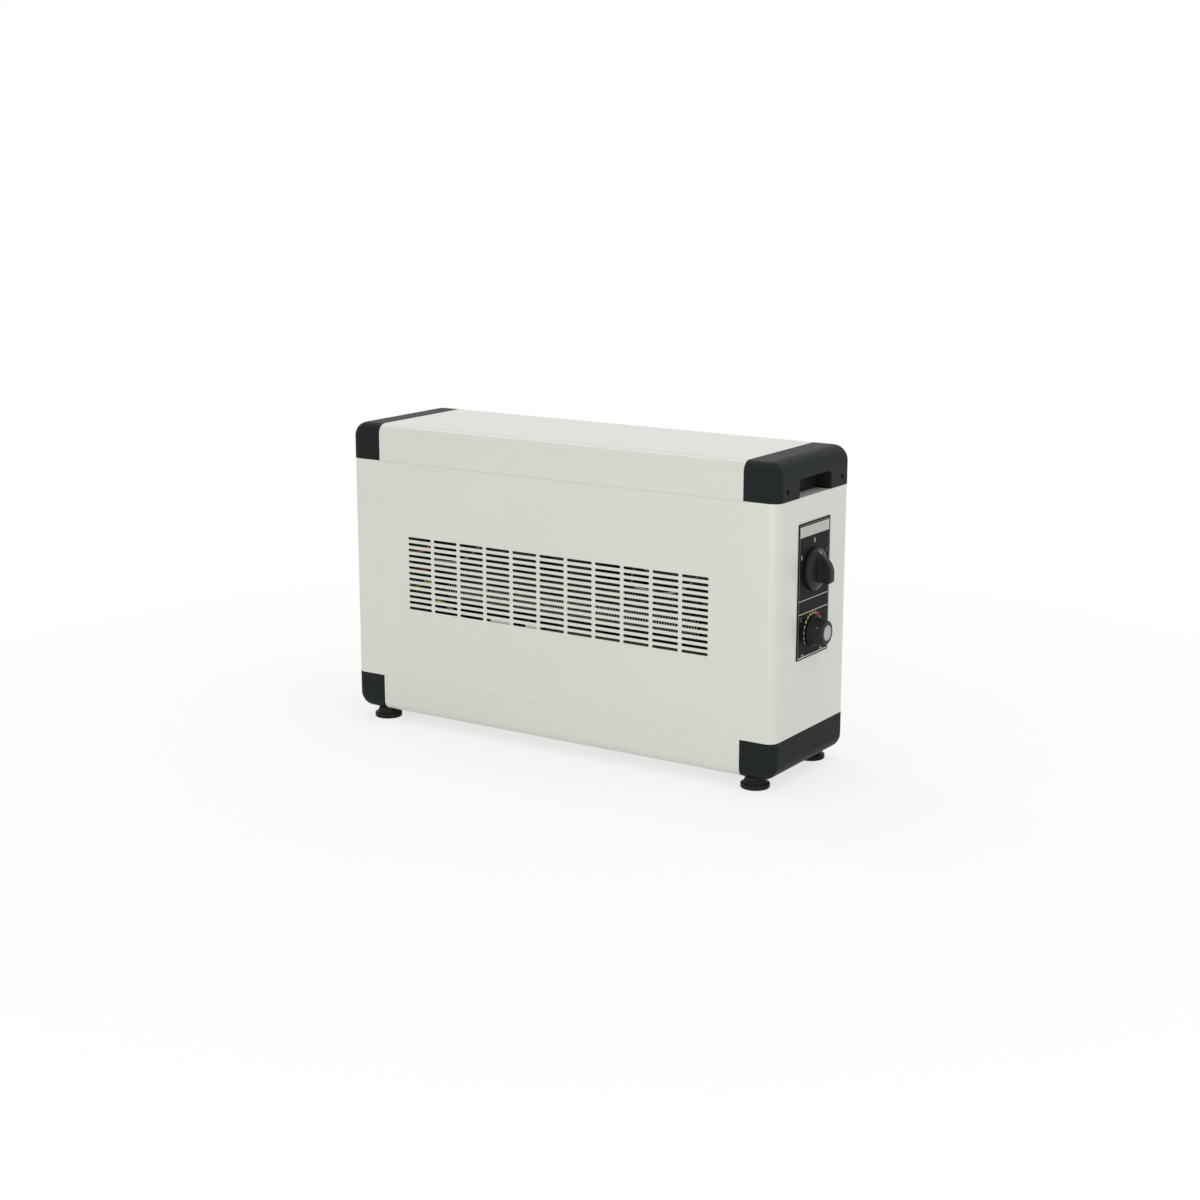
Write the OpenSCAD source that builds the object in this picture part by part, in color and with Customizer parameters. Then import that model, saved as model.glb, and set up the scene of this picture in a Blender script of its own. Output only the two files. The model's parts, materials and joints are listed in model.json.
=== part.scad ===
// Fan heater that stands on the floor: a folded steel casing between moulded end caps,
// with a finned heating element and an axial fan inside, controls on the right side
// and four levelling feet. Millimetres, +Z up, the front looks towards -Y.

/* [Casing] */
// Width over the end caps
caps_w = 600; // [520:5:760]
// Depth from the front panel to the rear panel
depth = 175; // [165:1:220]
// Height of the casing without its feet
body_h = 363; // [330:1:460]
// Radius of the long front and back edges
edge_r = 12; // [6:1:18]
// Thickness of the sheet steel
panel_t = 1; // [0.8:0.1:1.4]
// Radius of the side panels' upright folds
fold_r = 12; // [6:0.5:16]
// Visible gap at a seam between two sheets
seam_gap = 0.4; // [0.2:0.1:1]
// Width of the laps behind the seams
lap_w = 12; // [9:1:16]
// Width of the side panels' folded ends
end_flange_w = 36; // [30:1:38]

/* [End caps] */
// Width of a cap, seen from the front
cap_w = 44; // [40:1:56]
// Height of a cap
cap_h = 45; // [42:1:60]
// Wall of the moulded caps
cap_wall = 2.6; // [2:0.1:3.5]
// How far a cap stands out past the side panel
cap_proud = 0.5; // [0.5:0.5:8]
// Radius of a cap's top or bottom outer edge
cap_end_r = 18; // [10:1:22]
// Radius of a cap's upright corners
cap_corner_r = 12; // [8:1:16]
// Length of the tongue under the cover
tongue_w = 8; // [5:1:12]
// Clearance of the tongue under the cover
tongue_clear = 0.2; // [0.1:0.05:0.4]
// Width of the rim that sits on the side panel
rim_w = 9; // [8.5:0.5:11]

/* [Carrying recess] */
// Width of the recess
recess_w = 76; // [60:1:86]
// Height of the recess's mouth
recess_h = 21.4; // [18:0.2:24]
// Depth of the recess
recess_d = 19; // [16:1:30]
// Thickness of the grip bar, outside to inside
grip_t = 5; // [4:0.5:8]
// Height of the finger space behind the grip bar
finger_rise = 12; // [6:1:14]
// Radius of the recess's corners
recess_r = 5; // [2:0.5:8]
// Distance between the two cap screws
cap_screw_span = 131.6; // [122:0.2:140]
// Height of the cap screws over the cap's lower edge
cap_screw_rise = 10.4; // [9:0.2:14]

/* [Outlet grille] */
// Number of slots in a row
grille_cols = 11; // [5:1:13]
// Number of rows
grille_rows = 13; // [5:1:19]
// Distance between the columns
slot_pitch_x = 39.2; // [38:0.2:44]
// Distance between the rows
slot_pitch_z = 7.3; // [5.5:0.1:9]
// Length of a slot
slot_l = 35; // [20:0.5:36]
// Height of a slot
slot_h = 3.5; // [2.5:0.1:4]
// Slots in a row of the intake field at the back
intake_cols = 5; // [3:1:7]
// Rows of the intake field at the back
intake_rows = 21; // [9:1:21]

/* [Feet] */
// Height of a foot under the casing
foot_h = 14; // [12:0.5:20]
// Radius of a foot's pad
foot_r = 17; // [15:0.5:20]
// Radius of a foot's neck
foot_neck_r = 12; // [10:0.5:13]
// Distance of a foot from the cap's end face
foot_inset_x = 33.5; // [31:0.5:36]
// Distance of a foot from the front or back
foot_inset_y = 20; // [18:0.5:26]
// Radius of a foot's stud
stud_r = 4; // [3:0.5:5]
// How far a foot screws out
foot_travel = 8; // [4:1:10]
// Clearance over a foot when it is screwed in
foot_clear = 0.3; // [0.2:0.1:0.6]
// Height of the boss that the stud runs through
boss_h = 18; // [14:1:22]

/* [Controls] */
// Width of the control plate
plate_w = 75.4; // [70:0.2:90]
// Height of the control plate
plate_h = 157; // [150:1:180]
// Thickness of the control plate
plate_t = 1; // [0.8:0.1:2]
// Distance of the control plate's middle from the front
plate_y = 87; // [80:0.5:110]
// Height of the control plate's middle over the casing's middle
plate_rise = 28.2; // [10:0.1:35]
// Height of the switch over the control plate's middle
switch_rise = 22.5; // [15:0.1:30]
// Depth of the thermostat under the control plate's middle
thermostat_drop = 50; // [42:0.5:55]
// Radius of the control shafts
control_shaft_r = 3; // [2.5:0.1:3.5]
// Radius of the threaded necks that the shafts turn in
neck_r = 5; // [4.5:0.1:6]
// Gap between a knob and the control plate
knob_gap = 0.5; // [0.3:0.1:1]
// Reach of the switch knob over the control plate
switch_knob_h = 25; // [20:0.5:30]
// Radius of the switch knob's skirt
switch_skirt_r = 24.5; // [22:0.5:28]
// Thickness of the switch knob's bar
bar_t = 10; // [8:0.5:13]
// Reach of the thermostat knob over the control plate
thermostat_knob_h = 19.2; // [16:0.2:24]
// Radius of the thermostat knob at its base
thermostat_knob_r = 16.5; // [14:0.5:20]
// Number of flutes round the thermostat knob
knob_flutes = 24; // [12:2:36]
// Radius of the bright cap on the thermostat knob
knob_cap_r = 9.5; // [7:0.5:11]

/* [Heating element] */
// Radius of the element's tube
tube_r = 4.25; // [3.5:0.25:5]
// Distance between the two runs of the tube
run_gap = 26; // [24:1:34]
// Depth of the element under the casing's middle
element_drop = 11.5; // [0:0.5:20]
// Distance of the element behind the front
element_y = 45; // [36:1:50]
// Radius of the fins
fin_r = 12; // [8:0.5:12.5]
// Thickness of a fin
fin_t = 0.6; // [0.4:0.1:1]
// Distance from fin to fin
fin_pitch = 5.6; // [4:0.1:9]
// Length of the finned stretch
finned_l = 364; // [300:1:380]
// Distance between the two element brackets
bracket_span = 410; // [400:1:420]

/* [Fan] */
// Radius of the impeller
impeller_r = 76; // [60:1:78]
// Gap between the impeller and its collar
tip_gap = 4; // [2:0.5:6]
// Number of blades
blades = 5; // [4:1:7]
// Pitch of the blades in degrees
blade_pitch = 25; // [18:1:30]
// Width of a blade
blade_chord = 46; // [36:1:48]
// Thickness of a blade
blade_t = 1.2; // [0.8:0.1:1.6]
// Distance of the mid plate behind the front
mid_plate_y = 88; // [84:1:90]
// Radius of the fan's shaft
fan_shaft_r = 3; // [2.5:0.1:4]
// Thickness of the motor's stack of sheets
core_t = 20; // [14:1:22]
// Gap between the rotor and the stack
air_gap = 0.5; // [0.3:0.1:0.8]

/* [Fits] */
// Clearance of a shaft that turns in its bore, on the radius
run_clear = 0.05; // [0.02:0.01:0.09]
// Clearance of a piece that is pressed or glued in its bore, on the radius
seat_clear = 0.02; // [0.01:0.01:0.05]
// Clearance of a screw in its hole, on the radius
screw_clear = 0.1; // [0.05:0.05:0.3]

/* [Hidden] */

paint = [0.83, 0.83, 0.80];
black_plastic = [0.13, 0.14, 0.14];
zinc = [0.68, 0.69, 0.70];
$fn = 48;

caps_half = caps_w / 2;
seam_x = caps_half - cap_w;
panel_x = caps_half - cap_proud;
base_z = foot_h;
top_z = foot_h + body_h;
low_seam = base_z + cap_h;
high_seam = top_z - cap_h;
mid_z = base_z + body_h / 2;
lap_root = 3;
past = 1;

// Controls
plate_z = mid_z + plate_rise;
switch_z = plate_z + switch_rise;
thermostat_z = plate_z - thermostat_drop;
inner_x = panel_x - panel_t;
face_x = panel_x + plate_t;
plate_corner_r = 1.5;
switch_w = 42;
switch_d = 30;
thermostat_w = 34;
thermostat_h = 38;
thermostat_d = 26;
shaft_sink = 12;
shaft_rise = 13;
flute_r = 1.6;
flute_sink = 0.7;
bar_nose_r = 20;
bar_heel_r = 4;
bar_tail = 15;
bar_inset = 2;
bar_tip = switch_skirt_r - bar_inset;
skirt_edge = 3.5;
skirt_slope_h = 3;
skirt_slope_w = 6;
tag_l = 8;
tag_w = 6;
tag_t = 0.8;
tag_pitch_y = 12;
tag_pitch_z = 24;
block_round = 3;
knob_foot = 2.5;
knob_foot_rim = 1;
knob_edge = 1;
knob_draft = 1;
knob_cap_t = 1.2;
knob_cap_proud = 0.4;

// Screws
screw_r = 1.9;
screw_head_r = 3.6;
screw_head_h = 1.8;
rear_screw_pitch = 130;
rear_screw_l = 8;
rear_screw_count = 4;

// Cap screws
tab_w = 14;
tab_foot = 12;
tab_set_back = 11;
tab_x = panel_x - tab_set_back;
cap_boss_r = 6.5;
cap_screw_r = 1.5;
cap_screw_head_r = 2.5;
cap_screw_head_h = 1.4;
cap_well_r = 2.8;
cap_well_d = 5;
cap_screw_z = high_seam + cap_screw_rise;
cap_screw_ys = [depth / 2 - cap_screw_span / 2, depth / 2 + cap_screw_span / 2];

// Feet
foot_xs = [-(caps_half - foot_inset_x), caps_half - foot_inset_x];
foot_ys = [foot_inset_y, depth - foot_inset_y];
boss_r = 9;
nut_r = 7.5;
nut_h = 6.5;
stud_base = 3;
stud_top = base_z + boss_h + nut_h + foot_travel + past;
pad_h = 6;
pad_round = 1.6;
pad_edge = 0.8;
pad_step = 1;
pad_cone = 4;

// Heating element
element_z = mid_z - element_drop;
run_zs = [element_z - run_gap / 2, element_z + run_gap / 2];
fin_count = floor(finned_l / fin_pitch);
collar_wall = 0.6;
collar_r = tube_r + collar_wall;
bracket_x = bracket_span / 2;
bracket_rim = 18;
bracket_h = run_gap + 2 * (fin_r + bracket_rim);
bracket_flange = 12;
bracket_lead = 8;
bracket_front = element_y - fin_r - bracket_lead;
bracket_screw_inset = 10;
bracket_screw_x = bracket_x + (bracket_flange + panel_t) / 2;
bracket_screw_zs = [element_z - bracket_h / 2 + bracket_screw_inset,
    element_z + bracket_h / 2 - bracket_screw_inset];
bracket_screw_l = 6;
bend_run = 14;
element_end = bracket_x + bend_run;
tail_l = 20;
insulator_r = 5.6;
insulator_l = 9;
pin_r = 1.6;
pin_l = 8;
tube_hole_clear = 0.2;
fin_clear = 0.1;

// Fan and motor
fan_z = mid_z;
collar_t = panel_t;
fan_hole_r = impeller_r + tip_gap;
collar_d = 12;
mid_plate_rim = 8;
mid_plate_half = bracket_x + bracket_flange + mid_plate_rim;
flange_d = 14;
blade_depth = blade_chord * sin(blade_pitch) + blade_t;
blade_gap = 3;
impeller_y = mid_plate_y + panel_t + blade_gap + blade_depth / 2;
strap_t = 2;
strap_w = 20;
strap_gap = 4;
strap_y = impeller_y + blade_depth / 2 + strap_gap;
leg_gap = 7;
leg_x = fan_hole_r + collar_t + leg_gap;
strap_foot = 16;
bridge_t = 2;
bridge_w = 58;
bridge_h = 14;
post_l = 8;
post_r = 3.4;
post_x = 24;
bush_r = 6;
bush_l = 7;
bush_gap = 2;
core_front = strap_y + strap_t + bridge_t + post_l;
core_back = core_front + core_t;
core_mid = (core_front + core_back) / 2;
core_half = 31;
core_up = 22;
core_down = 50;
rotor_r = 12.6;
window_half = 17;
window_up = 20;
yoke_h = 12;
coil_clear = 0.2;
coil_half = 15;
coil_build = 9;
hub_r = 13;
blade_root = 4;
hub_l = 12;
motor_screw_r = 1.6;
motor_head_r = 3;
motor_head_h = 1.6;
coil_round = 3;
fan_nut_r = 5.5;
fan_nut_h = 4;
shaft_past = 2;
shaft_front = impeller_y - hub_l / 2 - fan_nut_h - shaft_past;
shaft_back = core_back + post_l + bridge_t + shaft_past;

// Capillary and its bulb
bulb_r = 3.2;
bulb_l = 90;
bulb_inset = 196;
bulb_stand_off = 8;
bulb_rise = 40;
bulb_x = seam_x - bulb_inset;
bulb_y = depth - panel_t - bulb_stand_off;
bulb_z = low_seam + bulb_rise;
clip_w = 8;
clip_half = 5;
clip_inset = 15;
capillary_r = 0.9;
capillary_set_back = 15.5;
capillary_x = inner_x - capillary_set_back;

// Inlet
gland_inset = 41;
gland_rise = 24;
gland_x = seam_x - gland_inset;
gland_z = low_seam + gland_rise;
gland_r = 8;
gland_bore_r = 4;
gland_flange_r = 11;
gland_flange_t = 2.5;
gland_l = 14;
gland_nut_t = 5;
block_inset = 126;
block_back = 40;
block_x = seam_x - block_inset;
block_y = depth - block_back;
block_w = 50;
block_d = 22;
block_h = 18;
block_ways = 5;
well_r = 2.6;
well_d = 7;

// Safety cut-out
cutout_r = 8;
cutout_h = 9;
cutout_ear_w = 34;
cutout_ear_h = 10;
cutout_ear_t = 1;
cutout_inset = 40;
cutout_rise = 30;
cutout_x = mid_plate_half - cutout_inset;
cutout_z = element_z + bracket_h / 2 + cutout_rise;
cutout_tag_gap = 8;

// The whole stands with its box centred on the origin: the switch knob reaches past the
// right caps, and the cable gland past the rear panel.
frame_x = -(face_x + switch_knob_h - caps_half) / 2;
frame_y = -(depth + gland_flange_t) / 2;

// Placing and drawing helpers
module in_frame() translate([frame_x, frame_y, 0]) children();

// An outline in Y and Z, drawn out from x0 to x1
module along_x(x0, x1) translate([x0, 0, 0]) rotate([90, 0, 90]) linear_extrude(x1 - x0) children();

// An outline in X and Z, drawn out from y0 to y1
module along_y(y0, y1) translate([0, y1, 0]) rotate([90, 0, 0]) linear_extrude(y1 - y0) children();

// An outline in X and Y, drawn out from z0 to z1
module along_z(z0, z1) translate([0, 0, z0]) linear_extrude(z1 - z0) children();

module rod_x(y, z, r, x0, x1) translate([x0, y, z]) rotate([0, 90, 0]) cylinder(r = r, h = x1 - x0);

module rod_y(x, z, r, y0, y1) translate([x, y1, z]) rotate([90, 0, 0]) cylinder(r = r, h = y1 - y0);

module rod_z(x, y, r, z0, z1) translate([x, y, z0]) cylinder(r = r, h = z1 - z0);

module both_sides() {
    children();
    mirror([1, 0, 0]) children();
}

module upside_down() translate([0, 0, 2 * mid_z]) mirror([0, 0, 1]) children();

// A rectangle with round corners, centred
module round_rect(w, h, r) {
    square([w - 2 * r, h], center = true);
    square([w, h - 2 * r], center = true);
    for (sx = [-1, 1], sy = [-1, 1])
        translate([sx * (w / 2 - r), sy * (h / 2 - r)]) circle(r = r);
}

// Outlines of the casing, each shrunk by inset all round
module casing_profile(inset) translate([depth / 2, mid_z])
    round_rect(depth - 2 * inset, body_h - 2 * inset, edge_r - inset);

module end_profile(inset) translate([0, mid_z])
    round_rect(2 * (caps_half - inset), body_h - 2 * inset, cap_end_r - inset);

module corner_profile(inset) translate([0, depth / 2])
    round_rect(2 * (caps_half - inset), depth - 2 * inset, cap_corner_r - inset);

module side_outline(inset) translate([0, depth / 2])
    round_rect(2 * (panel_x - inset), depth - 2 * inset, fold_r - inset);

// Screws
module rear_screw_places() {
    for (i = [0 : rear_screw_count - 1], z = [low_seam + lap_w / 2, high_seam - lap_w / 2])
        translate([(i - (rear_screw_count - 1) / 2) * rear_screw_pitch, 0, z]) children();
}

module rear_screw_holes() rear_screw_places()
    rod_y(0, 0, screw_r + screw_clear, depth - 3 * panel_t, depth + past);

// A pan-head screw along X, its head's seat at x = 0 and its shank towards -X
module pan_screw(r, head_r, head_h, length) {
    slot_w = head_r / 4;
    difference() {
        union() {
            rod_x(0, 0, head_r, 0, head_h / 2);
            translate([head_h / 2, 0, 0]) rotate([0, 90, 0])
                cylinder(r1 = head_r, r2 = head_r * 0.7, h = head_h / 2);
            rod_x(0, 0, r, -length, head_h / 4);
        }
        for (a = [0, 90]) rotate([a, 0, 0])
            translate([head_h / 2, -slot_w / 2, -head_r * 0.6]) cube([head_h, slot_w, head_r * 1.2]);
    }
}

// Covers: one section, closed at the bottom by the same sheet turned over
module cover_section() {
    intersection() {
        difference() {
            casing_profile(0);
            casing_profile(panel_t);
        }
        translate([-past, high_seam + seam_gap / 2]) square([depth + 2 * past, cap_h]);
    }
    for (y = [panel_t, depth - 2 * panel_t])
        translate([y, high_seam - lap_w]) square([panel_t, lap_w + lap_root]);
}

module cover() difference() {
    along_x(-seam_x + seam_gap / 2, seam_x - seam_gap / 2) cover_section();
    rear_screw_holes();
}

module top_cover() color(paint) cover();

module bottom_cover() color(paint) upside_down() cover();

// Punched panels
module slot(l, h) {
    square([l - h, h], center = true);
    for (s = [-1, 1]) translate([s * (l - h) / 2, 0]) circle(d = h, $fn = 24);
}

module slot_field(cols, rows) {
    for (i = [0 : cols - 1], j = [0 : rows - 1])
        translate([(i - (cols - 1) / 2) * slot_pitch_x, (j - (rows - 1) / 2) * slot_pitch_z])
            slot(slot_l, slot_h);
}

module punched_sheet(cols, rows) difference() {
    translate([0, mid_z])
        square([2 * seam_x - seam_gap, high_seam - low_seam - seam_gap], center = true);
    translate([0, mid_z]) slot_field(cols, rows);
}

module front_panel() color(paint) along_y(0, panel_t) punched_sheet(grille_cols, grille_rows);

module rear_panel() color(paint) difference() {
    along_y(depth - panel_t, depth) punched_sheet(intake_cols, intake_rows);
    rear_screw_holes();
    rod_y(gland_x, gland_z, gland_r + screw_clear, depth - 2 * panel_t, depth + past);
}

// Side panels, drawn on the right
module side_panel() {
    along_z(low_seam, high_seam) intersection() {
        difference() {
            side_outline(0);
            side_outline(panel_t);
        }
        translate([seam_x + seam_gap / 2, -past]) square([cap_w, depth + 2 * past]);
    }
    along_z(low_seam + lap_w + seam_gap, high_seam - lap_w - seam_gap)
        for (y = [panel_t, depth - 2 * panel_t])
            translate([seam_x - lap_w, y]) square([lap_w + lap_root, panel_t]);
    for (z = [low_seam, high_seam - panel_t]) along_z(z, z + panel_t) intersection() {
        side_outline(panel_t / 2);
        translate([panel_x - end_flange_w, -past]) square([end_flange_w, depth + 2 * past]);
    }
}

module left_side_panel() color(paint) mirror([1, 0, 0]) side_panel();

module right_side_panel() color(paint) difference() {
    side_panel();
    for (z = [switch_z, thermostat_z])
        rod_x(plate_y, z, neck_r + screw_clear, inner_x - past, panel_x + past);
}

// End caps: the casing's outer form, rounded along three directions
module cap_form(inset) intersection() {
    along_x(0, caps_half + past) casing_profile(inset);
    along_y(-past, depth + past) end_profile(inset);
    along_z(base_z - past, top_z + past) corner_profile(inset);
}

module cap_shell() {
    difference() {
        intersection() {
            cap_form(0);
            translate([seam_x + seam_gap / 2, -past, high_seam])
            cube([cap_w, depth + 2 * past, cap_h + past]);
        }
        cap_form(cap_wall);
    }
    // the rim that sits on the side panel
    along_z(high_seam, high_seam + cap_wall) intersection() {
        difference() {
            corner_profile(cap_wall / 2);
            corner_profile(rim_w);
        }
        translate([seam_x + seam_gap / 2, -past]) square([cap_w, depth + 2 * past]);
    }
    // the tongue under the cover
    along_x(seam_x - tongue_w, seam_x + lap_root) intersection() {
        difference() {
            casing_profile(panel_t + tongue_clear);
            casing_profile(cap_wall);
        }
        translate([-past, high_seam + lap_root + seam_gap]) square([depth + 2 * past, cap_h]);
    }
}

// The carrying recess, open below and at the end face, seen in Y and Z
module recess_profile(grow, rise) {
    h = recess_h + rise + grow;
    translate([depth / 2, high_seam - recess_r + (h + recess_r) / 2])
        round_rect(recess_w + 2 * grow, h + recess_r, recess_r);
}

module recess_block() intersection() {
    cap_form(0);
    translate([seam_x, 0, high_seam]) cube([cap_w, depth, cap_h]);
    along_x(caps_half - recess_d - cap_wall, caps_half + past) recess_profile(cap_wall, finger_rise);
}

module recess_space() {
    along_x(caps_half - recess_d, caps_half + past) recess_profile(0, 0);
    along_x(caps_half - recess_d, caps_half - grip_t) recess_profile(0, finger_rise);
}

module top_cap() color(black_plastic) difference() {
    union() {
        cap_shell();
        recess_block();
        for (y = cap_screw_ys)
            rod_x(y, cap_screw_z, cap_boss_r, tab_x, caps_half - cap_wall / 2);
    }
    recess_space();
    for (y = cap_screw_ys) {
        rod_x(y, cap_screw_z, cap_screw_r + screw_clear, tab_x - past, caps_half);
        rod_x(y, cap_screw_z, cap_well_r, caps_half - cap_well_d, caps_half + past);
    }
}

module top_right_cap() top_cap();

module top_left_cap() mirror([1, 0, 0]) top_cap();

module bottom_cap() color(black_plastic) difference() {
    union() {
        upside_down() cap_shell();
        intersection() {
            cap_form(0);
            for (y = foot_ys) rod_z(foot_xs[1], y, boss_r, base_z, base_z + boss_h);
        }
    }
    for (y = foot_ys) rod_z(foot_xs[1], y, stud_r + foot_clear, base_z - past, base_z + boss_h + past);
}

module bottom_right_cap() bottom_cap();

module bottom_left_cap() mirror([1, 0, 0]) bottom_cap();

// Tabs on the side panels that the top caps are screwed to
module cap_tabs() color(zinc) both_sides() for (y = cap_screw_ys) difference() {
    translate([0, y - tab_w / 2, high_seam]) {
        translate([tab_x - tab_foot, 0, 0]) cube([tab_foot, tab_w, panel_t]);
        translate([tab_x - panel_t, 0, 0]) cube([panel_t, tab_w, cap_screw_rise + cap_boss_r]);
    }
    rod_x(y, cap_screw_z, cap_screw_r + screw_clear, tab_x - tab_foot, tab_x + past);
}

module cap_screws() color(zinc) both_sides() for (y = cap_screw_ys)
    translate([caps_half - cap_well_d, y, cap_screw_z])
        pan_screw(cap_screw_r, cap_screw_head_r, cap_screw_head_h,
            caps_half - cap_well_d - tab_x + 3 * panel_t);

module rear_screws() color(zinc) rear_screw_places()
    translate([0, depth, 0]) rotate([0, 0, 90])
        pan_screw(screw_r, screw_head_r, screw_head_h, rear_screw_l);

// Controls
module control_plate() color([0.10, 0.10, 0.10]) difference() {
    along_x(panel_x, face_x) translate([plate_y, plate_z])
        round_rect(plate_w, plate_h, plate_corner_r);
    for (z = [switch_z, thermostat_z])
        rod_x(plate_y, z, neck_r + screw_clear, panel_x - past, face_x + past);
}

// The switch or thermostat behind the side panel, with a threaded neck through it
module control_body(z, w, h, d) difference() {
    union() {
        along_x(inner_x - d, inner_x) translate([plate_y, z]) round_rect(w, h, block_round);
        rod_x(plate_y, z, neck_r, inner_x - past, face_x);
    }
    rod_x(plate_y, z, control_shaft_r + run_clear, inner_x - shaft_sink - past, face_x + past);
}

module control_shaft(z) rod_x(plate_y, z, control_shaft_r, inner_x - shaft_sink, face_x + shaft_rise);

module switch_body() color([0.2, 0.2, 0.22]) {
    control_body(switch_z, switch_w, switch_w, switch_d);
    for (i = [-1, 0, 1], j = [-0.5, 0.5])
        translate([inner_x - switch_d - tag_l, plate_y + i * tag_pitch_y - tag_t / 2,
            switch_z + j * tag_pitch_z - tag_w / 2]) cube([tag_l, tag_t, tag_w]);
}

module switch_shaft() color(zinc) control_shaft(switch_z);

// The bar's side view in X and Z: full reach, a long round at its pointer end and a
// short one at its other end
module bar_outline() {
    reach = switch_knob_h - knob_gap;
    translate([face_x + knob_gap, switch_z]) difference() {
        union() {
            translate([0, -bar_tail]) square([reach - bar_heel_r, bar_tip + bar_tail]);
            translate([0, bar_heel_r - bar_tail]) square([reach, bar_tip + bar_tail - bar_heel_r]);
            translate([reach - bar_heel_r, bar_heel_r - bar_tail]) circle(r = bar_heel_r);
        }
        translate([reach - bar_nose_r, bar_tip - bar_nose_r]) difference() {
            square(bar_nose_r + past);
            circle(r = bar_nose_r);
        }
    }
}

module switch_knob() color(black_plastic) difference() {
    union() {
        translate([face_x + knob_gap, plate_y, switch_z]) rotate([0, 90, 0]) {
            cylinder(r = switch_skirt_r, h = skirt_edge);
            translate([0, 0, skirt_edge])
                cylinder(r1 = switch_skirt_r, r2 = switch_skirt_r - skirt_slope_w, h = skirt_slope_h);
        }
        along_y(plate_y - bar_t / 2, plate_y + bar_t / 2) bar_outline();
    }
    rod_x(plate_y, switch_z, control_shaft_r + seat_clear, face_x, face_x + shaft_rise + seat_clear);
}

module thermostat_body() color([0.62, 0.60, 0.52]) {
    control_body(thermostat_z, thermostat_w, thermostat_h, thermostat_d);
}

module thermostat_shaft() color(zinc) control_shaft(thermostat_z);

module thermostat_knob() color(black_plastic) {
    foot = face_x + knob_gap;
    end = face_x + thermostat_knob_h - knob_cap_proud;
    end_r = thermostat_knob_r - knob_draft;
    difference() {
        union() {
            rod_x(plate_y, thermostat_z, thermostat_knob_r + knob_foot_rim, foot, foot + knob_foot);
            translate([foot, plate_y, thermostat_z]) rotate([0, 90, 0])
                cylinder(r1 = thermostat_knob_r, r2 = end_r, h = end - knob_edge - foot);
            translate([end - knob_edge, plate_y, thermostat_z]) rotate([0, 90, 0])
                cylinder(r1 = end_r, r2 = end_r - knob_edge, h = knob_edge);
        }
        for (i = [0 : knob_flutes - 1]) translate([0, plate_y, thermostat_z])
            rotate([i * 360 / knob_flutes, 0, 0])
                rod_x(0, thermostat_knob_r + flute_r - flute_sink, flute_r, foot + knob_foot, end + past);
        rod_x(plate_y, thermostat_z, knob_cap_r + seat_clear,
            end + knob_cap_proud - knob_cap_t, end + past);
        rod_x(plate_y, thermostat_z, control_shaft_r + seat_clear,
            foot - past, face_x + shaft_rise + seat_clear);
    }
}

module thermostat_knob_cap() color([0.80, 0.80, 0.80])
    rod_x(plate_y, thermostat_z, knob_cap_r,
        face_x + thermostat_knob_h - knob_cap_t, face_x + thermostat_knob_h);

// The thermostat's sensing bulb and its thin copper capillary
module capillary_bulb() color([0.75, 0.45, 0.30]) {
    body_z = thermostat_z - thermostat_h / 2;
    rod_x(bulb_y, bulb_z, bulb_r, bulb_x, bulb_x + bulb_l);
    rod_x(bulb_y, bulb_z, capillary_r, bulb_x + bulb_l - past, capillary_x);
    translate([capillary_x, bulb_y, bulb_z]) sphere(r = capillary_r, $fn = 24);
    rod_y(capillary_x, bulb_z, capillary_r, plate_y, bulb_y);
    translate([capillary_x, plate_y, bulb_z]) sphere(r = capillary_r, $fn = 24);
    rod_z(capillary_x, plate_y, capillary_r, bulb_z, body_z);
}

module bulb_clips() color(zinc)
    for (x = [bulb_x + clip_inset, bulb_x + bulb_l - clip_inset - clip_w]) difference() {
        translate([x, bulb_y - clip_half, bulb_z - clip_half])
            cube([clip_w, depth - panel_t - bulb_y + clip_half, 2 * clip_half]);
        rod_x(bulb_y, bulb_z, bulb_r + seat_clear, x - past, x + clip_w + past);
    }

// Heating element: one tube in two runs, joined by a bend at the right
module element_tube() color([0.45, 0.43, 0.40]) {
    for (z = run_zs) rod_x(element_y, z, tube_r, -element_end - tail_l, element_end);
    translate([element_end, element_y, element_z]) rotate([90, 0, 0]) rotate([0, 0, -90])
        rotate_extrude(angle = 180) translate([run_gap / 2, 0]) circle(r = tube_r);
}

// Fins pressed on the tube: collars and discs in one turned profile
function fin_steps(i) = [
    [collar_r, i * fin_pitch],
    [collar_r, (i + 1) * fin_pitch - fin_t],
    [fin_r, (i + 1) * fin_pitch - fin_t],
    [fin_r, (i + 1) * fin_pitch]];

module fin_row() rotate([0, 90, 0]) rotate_extrude($fn = 36) polygon(concat(
    [[tube_r + fin_clear, 0]],
    [for (i = [0 : fin_count - 1]) each fin_steps(i)],
    [[tube_r + fin_clear, fin_count * fin_pitch]]));

module element_fins() color([0.72, 0.71, 0.68])
    for (z = run_zs) translate([-fin_count * fin_pitch / 2, element_y, z]) fin_row();

module element_insulators() color([0.90, 0.88, 0.82]) for (z = run_zs)
    rod_x(element_y, z, insulator_r, -element_end - tail_l - insulator_l, -element_end - tail_l);

module element_terminals() color(zinc) for (z = run_zs)
    rod_x(element_y, z, pin_r,
        -element_end - tail_l - insulator_l - pin_l, -element_end - tail_l - insulator_l);

// Brackets that hold the element in front of the mid plate, drawn on the right
module element_bracket() difference() {
    union() {
        translate([bracket_x, bracket_front, element_z - bracket_h / 2])
            cube([panel_t, mid_plate_y - bracket_front, bracket_h]);
        translate([bracket_x, mid_plate_y - panel_t, element_z - bracket_h / 2])
            cube([bracket_flange, panel_t, bracket_h]);
    }
    for (z = run_zs)
        rod_x(element_y, z, tube_r + tube_hole_clear, bracket_x - past, bracket_x + panel_t + past);
    bracket_screw_holes();
}

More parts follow.
